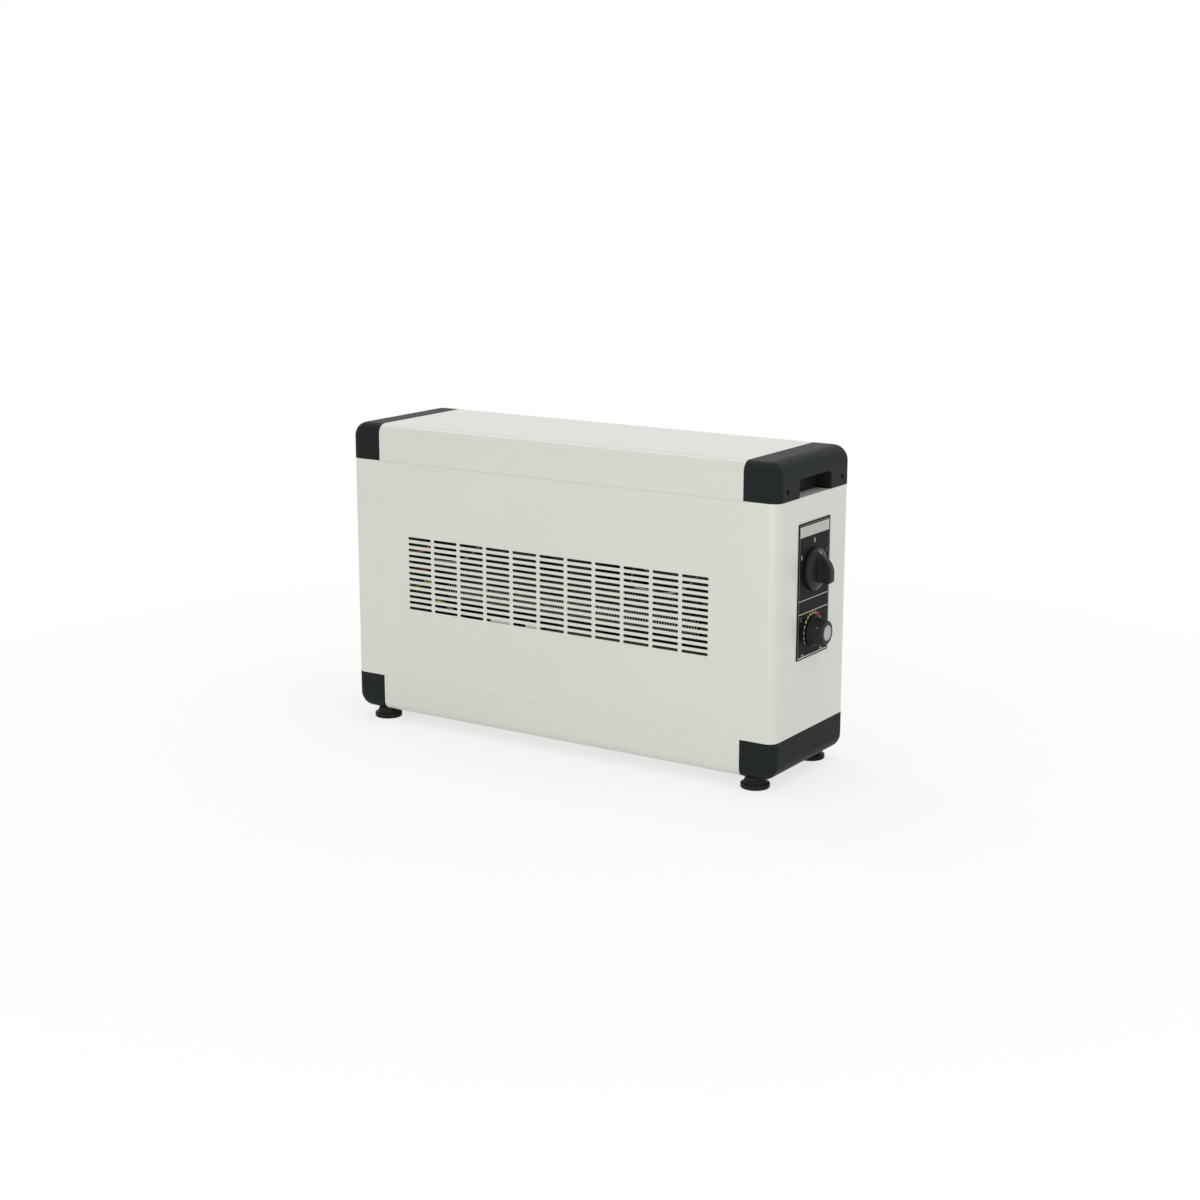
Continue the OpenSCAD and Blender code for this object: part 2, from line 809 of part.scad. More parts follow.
module bracket_screw_holes() for (z = bracket_screw_zs)
    rod_y(bracket_screw_x, z, screw_r + screw_clear, mid_plate_y - 2 * panel_t, mid_plate_y + 2 * panel_t);

module right_element_bracket() color(zinc) element_bracket();

module left_element_bracket() color(zinc) mirror([1, 0, 0]) element_bracket();

module bracket_screws() color(zinc) both_sides() for (z = bracket_screw_zs)
    translate([bracket_screw_x, mid_plate_y - panel_t, z]) rotate([0, 0, -90])
        pan_screw(screw_r, screw_head_r, screw_head_h, bracket_screw_l);

// Mid plate: carries the fan, and parts the intake from the outlet
module mid_plate() color(zinc) difference() {
    union() {
        along_y(mid_plate_y, mid_plate_y + panel_t) translate([0, mid_z])
            square([2 * mid_plate_half, body_h - 2 * panel_t], center = true);
        for (z = [base_z + panel_t, top_z - 2 * panel_t])
            translate([-mid_plate_half, mid_plate_y, z]) cube([2 * mid_plate_half, flange_d, panel_t]);
        rod_y(0, fan_z, fan_hole_r + collar_t, mid_plate_y, mid_plate_y + collar_d);
    }
    rod_y(0, fan_z, fan_hole_r, mid_plate_y - past, mid_plate_y + collar_d + past);
    both_sides() bracket_screw_holes();
}

// The strap across the fan opening that carries the motor
module motor_strap() color(zinc) difference() {
    along_z(fan_z - strap_w / 2, fan_z + strap_w / 2) {
        translate([-leg_x - strap_t, strap_y]) square([2 * (leg_x + strap_t), strap_t]);
        for (s = [-1, 1]) {
            translate([s * (leg_x + strap_t / 2) - strap_t / 2, mid_plate_y + panel_t])
                square([strap_t, strap_y + strap_t - mid_plate_y - panel_t]);
            translate([s * (leg_x + strap_foot / 2) - strap_foot / 2, mid_plate_y + panel_t])
                square([strap_foot, strap_t]);
        }
    }
    rod_y(0, fan_z, bush_r + bush_gap, strap_y - past, strap_y + strap_t + past);
    motor_screw_holes();
}

module motor_screw_holes() for (s = [-1, 1])
    rod_y(s * post_x, fan_z, motor_screw_r + screw_clear, strap_y - past, shaft_back + past);

// Motor
module motor_core() color([0.50, 0.51, 0.53]) difference() {
    along_y(core_front, core_back) translate([0, fan_z]) difference() {
        translate([-core_half, -core_down]) square([2 * core_half, core_down + core_up]);
        translate([-window_half, -core_down + yoke_h])
            square([2 * window_half, core_down - yoke_h - window_up]);
        circle(r = rotor_r + air_gap);
    }
    motor_screw_holes();
}

module motor_coil() color([0.72, 0.40, 0.22]) {
    yoke_mid = fan_z - core_down + yoke_h / 2;
    along_x(-coil_half, coil_half) translate([core_mid, yoke_mid]) difference() {
        round_rect(core_t + 2 * coil_build, yoke_h + 2 * coil_build, coil_round);
        square([core_t + 2 * coil_clear, yoke_h + 2 * coil_clear], center = true);
    }
}

module bearing_bridge() difference() {
    union() {
        translate([-bridge_w / 2, core_front - post_l - bridge_t, fan_z - bridge_h / 2])
            cube([bridge_w, bridge_t, bridge_h]);
        for (s = [-1, 1]) rod_y(s * post_x, fan_z, post_r, core_front - post_l - bridge_t, core_front);
        rod_y(0, fan_z, bush_r, core_front - post_l - bridge_t, core_front - post_l - bridge_t + bush_l);
    }
    rod_y(0, fan_z, fan_shaft_r + run_clear, core_front - post_l - bridge_t - past, core_front);
    motor_screw_holes();
}

module front_bearing_bridge() color([0.78, 0.70, 0.45]) bearing_bridge();

module rear_bearing_bridge() color([0.78, 0.70, 0.45])
    translate([0, 2 * core_mid, 0]) mirror([0, 1, 0]) bearing_bridge();

module motor_screws() color(zinc) for (s = [-1, 1])
    translate([s * post_x, strap_y, fan_z]) rotate([0, 0, -90])
        pan_screw(motor_screw_r, motor_head_r, motor_head_h, core_back + post_l + bridge_t - strap_y);

module fan_shaft() color([0.75, 0.76, 0.78]) rod_y(0, fan_z, fan_shaft_r, shaft_front, shaft_back);

module motor_rotor() color([0.60, 0.61, 0.63]) difference() {
    rod_y(0, fan_z, rotor_r, core_front, core_back);
    rod_y(0, fan_z, fan_shaft_r + seat_clear, core_front - past, core_back + past);
}

// Impeller: flat blades set at a pitch round a hub
module impeller() color([0.80, 0.81, 0.82]) difference() {
    union() {
        rod_y(0, fan_z, hub_r, impeller_y - hub_l / 2, impeller_y + hub_l / 2);
        intersection() {
            rod_y(0, fan_z, impeller_r, impeller_y - blade_depth, impeller_y + blade_depth);
            for (i = [0 : blades - 1]) translate([0, impeller_y, fan_z])
                rotate([0, i * 360 / blades, 0]) rotate([blade_pitch, 0, 0])
                    translate([hub_r - blade_root, -blade_t / 2, -blade_chord / 2])
                        cube([impeller_r, blade_t, blade_chord]);
        }
    }
    rod_y(0, fan_z, fan_shaft_r + seat_clear, 0, depth);
}

module impeller_nut() color(zinc) difference() {
    translate([0, impeller_y - hub_l / 2, fan_z]) rotate([90, 0, 0])
        cylinder(r = fan_nut_r, h = fan_nut_h, $fn = 6);
    rod_y(0, fan_z, fan_shaft_r + seat_clear, 0, depth);
}

// Bimetal cut-out on the mid plate, over the element
module safety_cutout() color([0.15, 0.15, 0.16]) {
    rod_y(cutout_x, cutout_z, cutout_r, mid_plate_y - cutout_h, mid_plate_y);
    along_y(mid_plate_y - cutout_ear_t, mid_plate_y) translate([cutout_x, cutout_z])
        round_rect(cutout_ear_w, cutout_ear_h, cutout_ear_h / 2 - past);
    for (s = [-0.5, 0.5])
        translate([cutout_x + s * cutout_tag_gap - tag_t / 2, mid_plate_y - cutout_h - tag_l + past,
            cutout_z - tag_w / 2]) cube([tag_t, tag_l, tag_w]);
}

// Terminals for the mains lead
module terminal_block() color([0.88, 0.87, 0.82]) difference() {
    translate([block_x, block_y, base_z + panel_t]) cube([block_w, block_d, block_h]);
    for (i = [0 : block_ways - 1], s = [-1, 1])
        rod_z(block_x + (i + 0.5) * block_w / block_ways, block_y + block_d / 2 + s * block_d / 4,
            well_r, base_z + panel_t + block_h - well_d, base_z + panel_t + block_h + past);
}

module cable_gland() color(black_plastic) difference() {
    union() {
        rod_y(gland_x, gland_z, gland_flange_r, depth, depth + gland_flange_t);
        rod_y(gland_x, gland_z, gland_r, depth - panel_t - gland_l, depth + past);
        translate([gland_x, depth - panel_t, gland_z]) rotate([90, 0, 0])
            cylinder(r = gland_flange_r, h = gland_nut_t, $fn = 6);
    }
    rod_y(gland_x, gland_z, gland_bore_r, depth - panel_t - gland_l - past, depth + gland_flange_t + past);
}

// Levelling feet
module foot_nuts() color(zinc) both_sides() for (y = foot_ys) difference() {
    translate([foot_xs[1], y, base_z + boss_h]) cylinder(r = nut_r, h = nut_h, $fn = 6);
    rod_z(foot_xs[1], y, stud_r + run_clear, base_z + boss_h - past, base_z + boss_h + nut_h + past);
}

module foot(x, y) color(black_plastic) {
    step_r = foot_r - 2 * pad_round;
    translate([x, y, 0]) difference() {
        union() {
            cylinder(r1 = foot_r - pad_edge, r2 = foot_r, h = pad_edge);
            rotate_extrude() {
                translate([0, pad_edge]) square([foot_r, pad_h - pad_round - pad_edge]);
                square([foot_r - pad_round, pad_h]);
                translate([foot_r - pad_round, pad_h - pad_round]) circle(r = pad_round);
            }
            cylinder(r = step_r, h = pad_h + pad_step);
            translate([0, 0, pad_h + pad_step])
                cylinder(r1 = step_r, r2 = foot_neck_r, h = pad_cone);
            cylinder(r = foot_neck_r, h = foot_h - foot_clear);
        }
        translate([0, 0, stud_base]) cylinder(r = stud_r + seat_clear, h = foot_h);
    }
}

module stud(x, y) color(zinc) rod_z(x, y, stud_r, stud_base, stud_top);

module front_left_foot() foot(foot_xs[0], foot_ys[0]);
module front_right_foot() foot(foot_xs[1], foot_ys[0]);
module rear_left_foot() foot(foot_xs[0], foot_ys[1]);
module rear_right_foot() foot(foot_xs[1], foot_ys[1]);
module front_left_stud() stud(foot_xs[0], foot_ys[0]);
module front_right_stud() stud(foot_xs[1], foot_ys[0]);
module rear_left_stud() stud(foot_xs[0], foot_ys[1]);
module rear_right_stud() stud(foot_xs[1], foot_ys[1]);

in_frame() top_cover();
in_frame() bottom_cover();
in_frame() front_panel();
in_frame() rear_panel();
in_frame() left_side_panel();
in_frame() right_side_panel();
in_frame() top_left_cap();
in_frame() top_right_cap();
in_frame() bottom_left_cap();
in_frame() bottom_right_cap();
in_frame() cap_tabs();
in_frame() cap_screws();
in_frame() rear_screws();
in_frame() control_plate();
in_frame() switch_body();
in_frame() switch_shaft();
in_frame() switch_knob();
in_frame() thermostat_body();
in_frame() thermostat_shaft();
in_frame() thermostat_knob();
in_frame() thermostat_knob_cap();
in_frame() capillary_bulb();
in_frame() bulb_clips();
in_frame() element_tube();
in_frame() element_fins();
in_frame() element_insulators();
in_frame() element_terminals();
in_frame() left_element_bracket();
in_frame() right_element_bracket();
in_frame() bracket_screws();
in_frame() mid_plate();
in_frame() motor_strap();
in_frame() motor_core();
in_frame() motor_coil();
in_frame() front_bearing_bridge();
in_frame() rear_bearing_bridge();
in_frame() motor_screws();
in_frame() fan_shaft();
in_frame() motor_rotor();
in_frame() impeller();
in_frame() impeller_nut();
in_frame() safety_cutout();
in_frame() terminal_block();
in_frame() cable_gland();
in_frame() foot_nuts();
in_frame() front_left_foot();
in_frame() front_right_foot();
in_frame() rear_left_foot();
in_frame() rear_right_foot();
in_frame() front_left_stud();
in_frame() front_right_stud();
in_frame() rear_left_stud();
in_frame() rear_right_stud();
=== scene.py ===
# %% [markdown]
# # A fan heater that stands on the floor
#
# The heater is a folded steel box between four black moulded caps. Its construction is already
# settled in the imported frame, so this lesson dresses it: the caps, knobs and feet get their
# moulded rounds, the sheets get soft painted edges, the control plate gets its print, and the
# element and its wires show through the slots. Every length is in metres.

# %% Load the frame
import json
import math

import bmesh
import bpy
from mathutils import Matrix, Vector


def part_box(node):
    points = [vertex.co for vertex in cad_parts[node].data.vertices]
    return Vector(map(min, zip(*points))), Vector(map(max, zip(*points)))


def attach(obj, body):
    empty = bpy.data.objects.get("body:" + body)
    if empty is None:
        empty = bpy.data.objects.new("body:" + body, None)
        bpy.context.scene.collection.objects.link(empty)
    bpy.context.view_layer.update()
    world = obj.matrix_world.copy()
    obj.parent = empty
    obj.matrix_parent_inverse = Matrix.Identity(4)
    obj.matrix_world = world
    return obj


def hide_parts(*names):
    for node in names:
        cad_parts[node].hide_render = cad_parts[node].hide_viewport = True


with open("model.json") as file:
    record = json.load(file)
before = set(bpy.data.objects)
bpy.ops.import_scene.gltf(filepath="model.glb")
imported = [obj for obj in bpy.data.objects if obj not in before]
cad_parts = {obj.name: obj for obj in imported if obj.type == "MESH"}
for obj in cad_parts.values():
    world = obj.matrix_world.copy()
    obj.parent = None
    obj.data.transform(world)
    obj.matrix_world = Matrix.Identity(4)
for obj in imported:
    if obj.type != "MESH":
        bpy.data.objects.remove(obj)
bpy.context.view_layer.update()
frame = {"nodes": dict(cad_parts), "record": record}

MM = 0.001


def linked(name, data):
    """Puts an object with some data into the scene."""
    holder = bpy.data.objects.new(name, data)
    bpy.context.scene.collection.objects.link(holder)
    return holder


# %% [markdown]
# The driving places are read from the frame's own boxes, so each new piece sits where the
# construction says. The front looks towards -Y and the controls are at +X. Both knobs turn on
# the middle line of the control plate, one above its middle and one below.

# %% Places on the heater
front_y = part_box("front_panel")[0].y
back_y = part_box("rear_panel")[1].y
end_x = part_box("top_right_cap")[1].x
middle_x = (end_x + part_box("top_left_cap")[0].x) / 2
top_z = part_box("top_cover")[1].z
base_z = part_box("bottom_cover")[0].z
high_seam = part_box("top_right_cap")[0].z
low_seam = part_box("bottom_right_cap")[1].z
plate_lo, plate_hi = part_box("control_plate")
plate_y = (plate_lo.y + plate_hi.y) / 2
plate_z = (plate_lo.z + plate_hi.z) / 2
face_x = plate_hi.x
switch_lo, switch_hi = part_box("switch_knob")
thermostat_lo, thermostat_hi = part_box("thermostat_knob")
SWITCH_RISE = 22.5 * MM
THERMOSTAT_DROP = 50 * MM
switch_axis_z = plate_z + SWITCH_RISE
thermostat_axis_z = plate_z - THERMOSTAT_DROP
print("casing", round(top_z - base_z, 4), "high, control plate face at x", round(face_x, 4))

# %% [markdown]
# ## Camera
#
# The view was solved from the straight edges of the casing and the rows of slots. The camera
# looks 33 degrees round from the front and 13 degrees down, through a lens a little longer
# than normal.

# %% Camera
VIEW_YAW = math.radians(33.175)
VIEW_PITCH = math.radians(12.948)
VIEW_ROLL = 0.00091
VIEW_LENS = 62.461
VIEW_PLACE = Vector((1.34495, -2.06120, 0.73880))

view_dir = Vector((-math.sin(VIEW_YAW) * math.cos(VIEW_PITCH),
                   math.cos(VIEW_YAW) * math.cos(VIEW_PITCH), -math.sin(VIEW_PITCH)))
level_right = Vector((math.cos(VIEW_YAW), math.sin(VIEW_YAW), 0))
level_up = level_right.cross(view_dir)
right = level_right * math.cos(VIEW_ROLL) + level_up * math.sin(VIEW_ROLL)
up = level_up * math.cos(VIEW_ROLL) - level_right * math.sin(VIEW_ROLL)
camera_data = bpy.data.cameras.new("view")
camera_data.lens = VIEW_LENS
camera_data.sensor_width = 36
camera_data.clip_end = 50
camera = linked("view", camera_data)
turn = Matrix((right, up, -view_dir)).transposed().to_4x4()
camera.matrix_world = Matrix.Translation(VIEW_PLACE) @ turn
bpy.context.scene.camera = camera
bpy.context.scene.view_settings.view_transform = "Standard"
print("camera", tuple(round(v, 3) for v in VIEW_PLACE))

# %% [markdown]
# ## Shader helpers
#
# Finishes are made of nodes, without pictures. A Value is the output of one node, and Python's
# own operators on it add Math nodes, so a formula reads like one. A Shade is the material or
# world that the nodes go into. Colours are given as a picture shows them and turned into
# linear light, which is what the renderer works in.

# %% Shader helpers
class Value:
    """One output socket. Python's operators on it add Math nodes to its material."""

    def __init__(self, shade, socket):
        self.shade = shade
        self.socket = socket

    def maths(self, operation, first, second=None):
        values = {0: first} if second is None else {0: first, 1: second}
        return self.shade.add("ShaderNodeMath", values, operation=operation)

    def __add__(self, other):
        return self.maths("ADD", self, other)

    def __radd__(self, other):
        return self.maths("ADD", other, self)

    def __sub__(self, other):
        return self.maths("SUBTRACT", self, other)

    def __mul__(self, other):
        return self.maths("MULTIPLY", self, other)

    def __truediv__(self, other):
        return self.maths("DIVIDE", self, other)

    def __pow__(self, other):
        return self.maths("POWER", self, other)

    def __gt__(self, other):
        return self.maths("GREATER_THAN", self, other)

    def least(self, other):
        return self.maths("MINIMUM", self, other)

    def sine(self):
        return self.maths("SINE", self)

    def fraction(self):
        return self.maths("FRACT", self)

    def held(self):
        """The value kept between 0 and 1."""
        return self.shade.add("ShaderNodeClamp", {"Value": self})


class Shade:
    """A material or world under construction."""

    def __init__(self, owner):
        owner.use_nodes = True
        self.nodes = owner.node_tree.nodes
        self.links = owner.node_tree.links
        self.nodes.clear()

    def add(self, kind, values=None, out=0, **settings):
        """Adds a node: its settings first, then what its sockets hold or are fed by."""
        node = self.nodes.new(kind)
        for name, setting in settings.items():
            setattr(node, name, setting)
        for name, value in (values or {}).items():
            if isinstance(value, Value):
                self.links.new(value.socket, node.inputs[name])
            else:
                node.inputs[name].default_value = value
        return Value(self, node.outputs[out]) if node.outputs else node

    def place(self):
        return self.add("ShaderNodeTexCoord", out="Object")

    def axes(self, vector):
        node = self.add("ShaderNodeSeparateXYZ", {0: vector}).socket.node
        return [Value(self, socket) for socket in node.outputs]

    def seen(self):
        """1 for a ray of the camera, a reflection or glass, and 0 for one that gathers light."""
        path = self.add("ShaderNodeLightPath").socket.node
        rays = ("Is Camera Ray", "Is Glossy Ray", "Is Transmission Ray")
        camera_ray, glossy_ray, glass_ray = [Value(self, path.outputs[ray]) for ray in rays]
        return (camera_ray + glossy_ray + glass_ray).held()

    def noise(self, scale, detail=2.0):
        return self.add("ShaderNodeTexNoise",
                        {"Vector": self.place(), "Scale": scale, "Detail": detail})

    def mix(self, factor, first, second, blend="MIX"):
        return self.add("ShaderNodeMix", {0: factor, 6: first, 7: second}, out=2,
                        data_type="RGBA", blend_type=blend)

    def bump(self, height, strength, distance):
        return self.add("ShaderNodeBump",
                        {"Strength": strength, "Distance": distance, "Height": height})


def linear(red, green, blue):
    """A colour as a picture shows it, 0 to 255, turned into linear light."""
    def one(channel):
        c = channel / 255
        return c / 12.92 if c <= 0.04045 else ((c + 0.055) / 1.055) ** 2.4
    return (one(red), one(green), one(blue), 1.0)


def finish(name, colour, roughness, metallic=0.0, normal=None, sheen=0.5):
    """Makes a material. Colour, roughness and normal may be functions that add nodes."""
    material = bpy.data.materials.new(name)
    shade = Shade(material)
    parts = {"Base Color": colour, "Roughness": roughness, "Metallic": metallic,
             "Specular IOR Level": sheen}
    if normal:
        parts["Normal"] = normal
    parts = {key: value(shade) if callable(value) else value for key, value in parts.items()}
    surface = shade.add("ShaderNodeBsdfPrincipled", parts)
    shade.add("ShaderNodeOutputMaterial", {"Surface": surface})
    return material


print("shader helpers ready")

# %% [markdown]
# ## Light and floor
#
# A product picture is lit by soft sources from all round. The world gives the even part. A
# long narrow lamp high over the left draws the bright line along the top's front fold, a big
# one over the right lights the top, and a low one in front lifts the casing's foot. The camera
# sees plain white behind the object through Light Path, so no extra light is needed for that.

# %% World and lamps
FILL_STRENGTH = 0.70
LAMPS = (("overhead_left", (-1.3, 0.6, 2.3), (-1.3, 0, 0.37), (1.9, 0.3), 9),
         ("overhead_right", (1.3, -0.1, 2.2), (0.1, 0, 0.3), (1.8, 1.8), 9),
         ("front_low", (0.5, -1.6, 0.12), (0.05, 0, 0.1), (2.2, 0.3), 6))
world = bpy.data.worlds.new("studio")
bpy.context.scene.world = world
sky = Shade(world)
backdrop = sky.add("ShaderNodeBackground", {"Color": (1, 1, 1, 1), "Strength": 1.0})
fill = sky.add("ShaderNodeBackground", {"Color": (1, 1, 1, 1), "Strength": FILL_STRENGTH})
sky.add("ShaderNodeOutputWorld", {"Surface": sky.add(
    "ShaderNodeMixShader", {0: sky.seen(), 1: fill, 2: backdrop})})


def soft_lamp(name, place, target, size, power):
    """Hangs an area lamp at a place, turned to a target, with its size in metres."""
    lamp = bpy.data.lights.new(name, "AREA")
    lamp.shape = "RECTANGLE"
    lamp.size, lamp.size_y = size
    lamp.energy = power
    holder = linked(name, lamp)
    aim = (Vector(target) - Vector(place)).to_track_quat("-Z", "Y")
    holder.matrix_world = Matrix.Translation(place) @ aim.to_matrix().to_4x4()


for lamp_row in LAMPS:
    soft_lamp(*lamp_row)
print("lamps", len(LAMPS))

# %% [markdown]
# The floor is wide and pale. For the camera it is nearly all plain white, with a share of its
# lit surface mixed in, so a soft contact shadow stays under the feet. The share fades to none
# a metre away, so no horizon shows.

# %% Floor
FLOOR_HALF = 12
PLAIN_SHARE = 0.72
FADE_RATE = 1.4
FADE_OFFSET = 0.5
floor_mesh = bmesh.new()
bmesh.ops.create_grid(floor_mesh, x_segments=1, y_segments=1, size=FLOOR_HALF)
floor_data = bpy.data.meshes.new("floor")
floor_mesh.to_mesh(floor_data)
floor_mesh.free()
floor = linked("floor", floor_data)
floor_material = bpy.data.materials.new("studio_floor")
ground = Shade(floor_material)
floor_x, floor_y = ground.axes(ground.place())[:2]
distance = (floor_x * floor_x + floor_y * floor_y) ** 0.5
away = (distance * FADE_RATE - FADE_OFFSET).held()
plain_part = ground.seen() * (PLAIN_SHARE + away * (1 - PLAIN_SHARE))
lit = ground.add("ShaderNodeBsdfDiffuse", {"Color": (0.96, 0.96, 0.95, 1)})
plain = ground.add("ShaderNodeEmission", {"Color": (1, 1, 1, 1), "Strength": 1.0})
ground.add("ShaderNodeOutputMaterial", {"Surface": ground.add(
    "ShaderNodeMixShader", {0: plain_part, 1: lit, 2: plain})})
floor_data.materials.append(floor_material)
print("floor laid")

# %% [markdown]
# ## Finishes
#
# The sheets are stove-enamelled in a warm off-white: smooth, half gloss, with the faint
# orange-peel that sprayed enamel keeps. The bump is a fine noise, a few hundredths of a
# millimetre high.

# %% Finish helpers
def clouded(scale, first, second, detail=2.0):
    """A colour: noise wanders between two tones."""
    def colour(shade):
        return shade.mix(shade.noise(scale, detail), linear(*first), linear(*second))
    return colour


def uneven(lowest, spread, scale, detail=2.0):
    """A roughness: noise adds up to a spread to the lowest value."""
    def roughness(shade):
        return lowest + shade.noise(scale, detail) * spread
    return roughness


def grained(scale, detail, strength, height):
    """A bump of fine noise."""
    def normal(shade):
        return shade.bump(shade.noise(scale, detail), strength, height)
    return normal


def ridged(axis, pitch, strength, height):
    """A bump of ridges that follow each other along X (0), Y (1) or Z (2)."""
    def normal(shade):
        along = shade.axes(shade.place())[axis]
        return shade.bump((along * (2 * math.pi / pitch)).sine(), strength, height)
    return normal


def moulded_grain(shade):
    fine = shade.noise(2600.0, 2.0)
    broad = shade.noise(700.0, 1.0)
    return shade.bump(fine * 0.7 + broad * 0.3, 0.35, 0.2 * MM)


print("finish helpers ready")

# %% [markdown]
# The plastics are black with a trace of green-blue. Caps and feet have a moulded grain that
# kills nearly all their shine, while the knobs are smoother and keep a soft one. The control
# plate is flat black enamel. The ceramic insulators are glazed and bright.

# %% Paint, plastics and ceramic
BLACK_SHEEN = 0.05
KNOB_SHEEN = 0.1
knob_black = clouded(60.0, (36, 40, 40), (42, 46, 45))
knob_grain = grained(1800.0, 1.0, 0.12, 0.1 * MM)
paint = finish("enamel", clouded(6.0, (213, 214, 206), (218, 219, 211)), 0.29,
               normal=grained(420.0, 1.5, 0.08, 0.4 * MM))
cap_plastic = finish("moulded_cap", clouded(14.0, (31, 35, 36), (37, 41, 41), 3.0),
                     uneven(0.40, 0.10, 40.0), normal=moulded_grain, sheen=BLACK_SHEEN)
knob_plastic = finish("moulded_knob", knob_black, 0.28, normal=knob_grain, sheen=KNOB_SHEEN)
foot_plastic = finish("moulded_foot", knob_black, 0.38, normal=moulded_grain, sheen=BLACK_SHEEN)
plate_black = finish("plate_enamel", clouded(90.0, (18, 19, 17), (23, 24, 22), 3.0), 0.42,
                     normal=knob_grain, sheen=BLACK_SHEEN)
switch_case = finish("switch_case", knob_black, 0.5, normal=knob_grain)
ceramic = finish("glazed_ceramic", clouded(50.0, (244, 240, 228), (250, 247, 238)), 0.25)
rail_paint = finish("rail_paint", clouded(40.0, (168, 160, 128), (182, 175, 146)), 0.5)
print("paint, plastics and ceramic", 8)

# %% [markdown]
# The metals inside differ in how they are made: zinc-plated sheet has a faint spangle, the
# heated tube and fins are dulled by heat, the motor's stack shows its sheets, and the spun
# disc on the knob shows rings round its middle. The zinc's tone is held far below bare zinc,
# which is painted shade for the dim inside of the casing. The fins carry painted light: a
# painted highlight on their rims, where light from the slots would reach them, weaker on the
# upper row than on the lower one, and painted shade on their sides.

# %% Metals
SPANGLE_SHARE = 0.12
# Width of the fin rims that get the painted highlight
FIN_LIT_RIM = 0.9 * MM
RING_RATE = 9000.0
fins_lo, fins_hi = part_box("element_fins")
FIN_RADIUS = (fins_hi.y - fins_lo.y) / 2
fins_mid_y = (fins_lo.y + fins_hi.y) / 2
fins_mid_z = (fins_lo.z + fins_hi.z) / 2
run_heights = (fins_lo.z + FIN_RADIUS, fins_hi.z - FIN_RADIUS)


# The zinc's tone, a dark 98 grey, is painted shade: far darker than bare zinc, for the dim
# inside of the casing
def zinc_shade_colour(shade):
    spangle = shade.add("ShaderNodeTexVoronoi", {"Vector": shade.place(), "Scale": 140.0},
                        out="Color")
    return shade.mix(SPANGLE_SHARE, linear(98, 99, 98), spangle, blend="OVERLAY")


# Painted light on the fins: a painted highlight on the rims and painted shade on the sides
def fin_painted_light(shade):
    x, y, z = shade.axes(shade.place())
    across = y - fins_mid_y
    lower, upper = [(across * across + (z - run_z) * (z - run_z)) ** 0.5
                    for run_z in run_heights]
    # The bright rim tones are a painted highlight, weaker on the upper run; the dark tone is
    # painted shade
    rim = lower.least(upper) > FIN_RADIUS - FIN_LIT_RIM
    edge = shade.mix(z > fins_mid_z, linear(240, 236, 222), linear(150, 143, 130))
    return shade.mix(rim, linear(20, 18, 16), edge)


def spun_rings(shade):
    x, y, z = shade.axes(shade.place())
    across = y - plate_y
    above = z - thermostat_axis_z
    radius = (across * across + above * above) ** 0.5
    height = (radius * RING_RATE).sine() * 0.5 + shade.noise(900.0, 1.0) * 0.5
    return shade.bump(height, 0.25, 0.06 * MM)


plated = uneven(0.24, 0.12, 400.0)
heated = uneven(0.42, 0.2, 200.0)
zinc = finish("zinc_sheet_painted_shade", zinc_shade_colour, uneven(0.36, 0.14, 90.0, 3.0), metallic=0.85)
screw_steel = finish("plated_screw", linear(170, 172, 174), plated, metallic=1.0)
brass = finish("bush_brass", linear(186, 160, 104), plated, metallic=0.9)
heated_steel = finish("heated_steel", clouded(45.0, (120, 114, 104), (160, 152, 138), 3.0),
                      heated, metallic=0.7)
fin_steel = finish("fin_strip_painted_light", fin_painted_light, heated, metallic=0.1)
bright_disc = finish("spun_disc", linear(172, 167, 161), 0.30, metallic=0.75, normal=spun_rings)
core_steel = finish("motor_stack", clouded(80.0, (92, 95, 98), (112, 114, 116), 3.0), 0.45,
                    metallic=0.8, normal=ridged(1, 0.5 * MM, 0.3, 0.1 * MM))
copper = finish("enamelled_winding", linear(158, 84, 48), 0.35, metallic=0.6,
                normal=ridged(0, 0.6 * MM, 0.4, 0.2 * MM))
aluminium = finish("impeller_sheet", linear(104, 106, 107), uneven(0.30, 0.15, 30.0, 4.0),
                   metallic=0.8)
print("metals", 9)

# %% [markdown]
# Each CAD node keeps its place and gets the finish of its material slot. Pieces that are
# modelled anew below replace their nodes later.

# %% Finishes of the CAD nodes
SLOT_FINISH = {
    "paint": paint, "cap_plastic": cap_plastic, "knob_plastic": knob_plastic,
    "control_black": plate_black, "switch_plastic": switch_case, "zinc": zinc,
    "screw_steel": screw_steel, "shaft_steel": screw_steel, "bright_cap": bright_disc,
    "copper": copper, "bearing_brass": brass, "element_steel": heated_steel,
    "fin_steel": fin_steel, "ceramic": ceramic, "core_steel": core_steel,
    "impeller_aluminium": aluminium, "foot_plastic": foot_plastic}
node_slot = {row["node"]: row["material_slot"] for row in frame["record"]["subparts"]}
for node_name, node_object in frame["nodes"].items():
    node_object.data.materials.clear()
    node_object.data.materials.append(SLOT_FINISH[node_slot[node_name]])
    for polygon in node_object.data.polygons:
        polygon.material_index = 0
node_body = {name: body for body, names in frame["record"]["behaviour"]["bodies"].items()
             for name in names}
print("finishes", len(SLOT_FINISH))

# %% [markdown]
# ## Soft edges on the sheets
#
# Folded and punched sheet has no razor edges once it is enamelled. A copy of each sheet's mesh
# is merged, its flat triangles are dissolved, and a Bevel modifier rounds what is left, so
# that every seam catches a thin line of light. Cutting the edges by hand would give the same
# look, but a modifier follows the CAD whenever it changes.

# %% Finished pieces
SHARP = math.radians(32)
MERGE_REACH = 0.002 * MM
FLAT_ANGLE = math.radians(0.6)


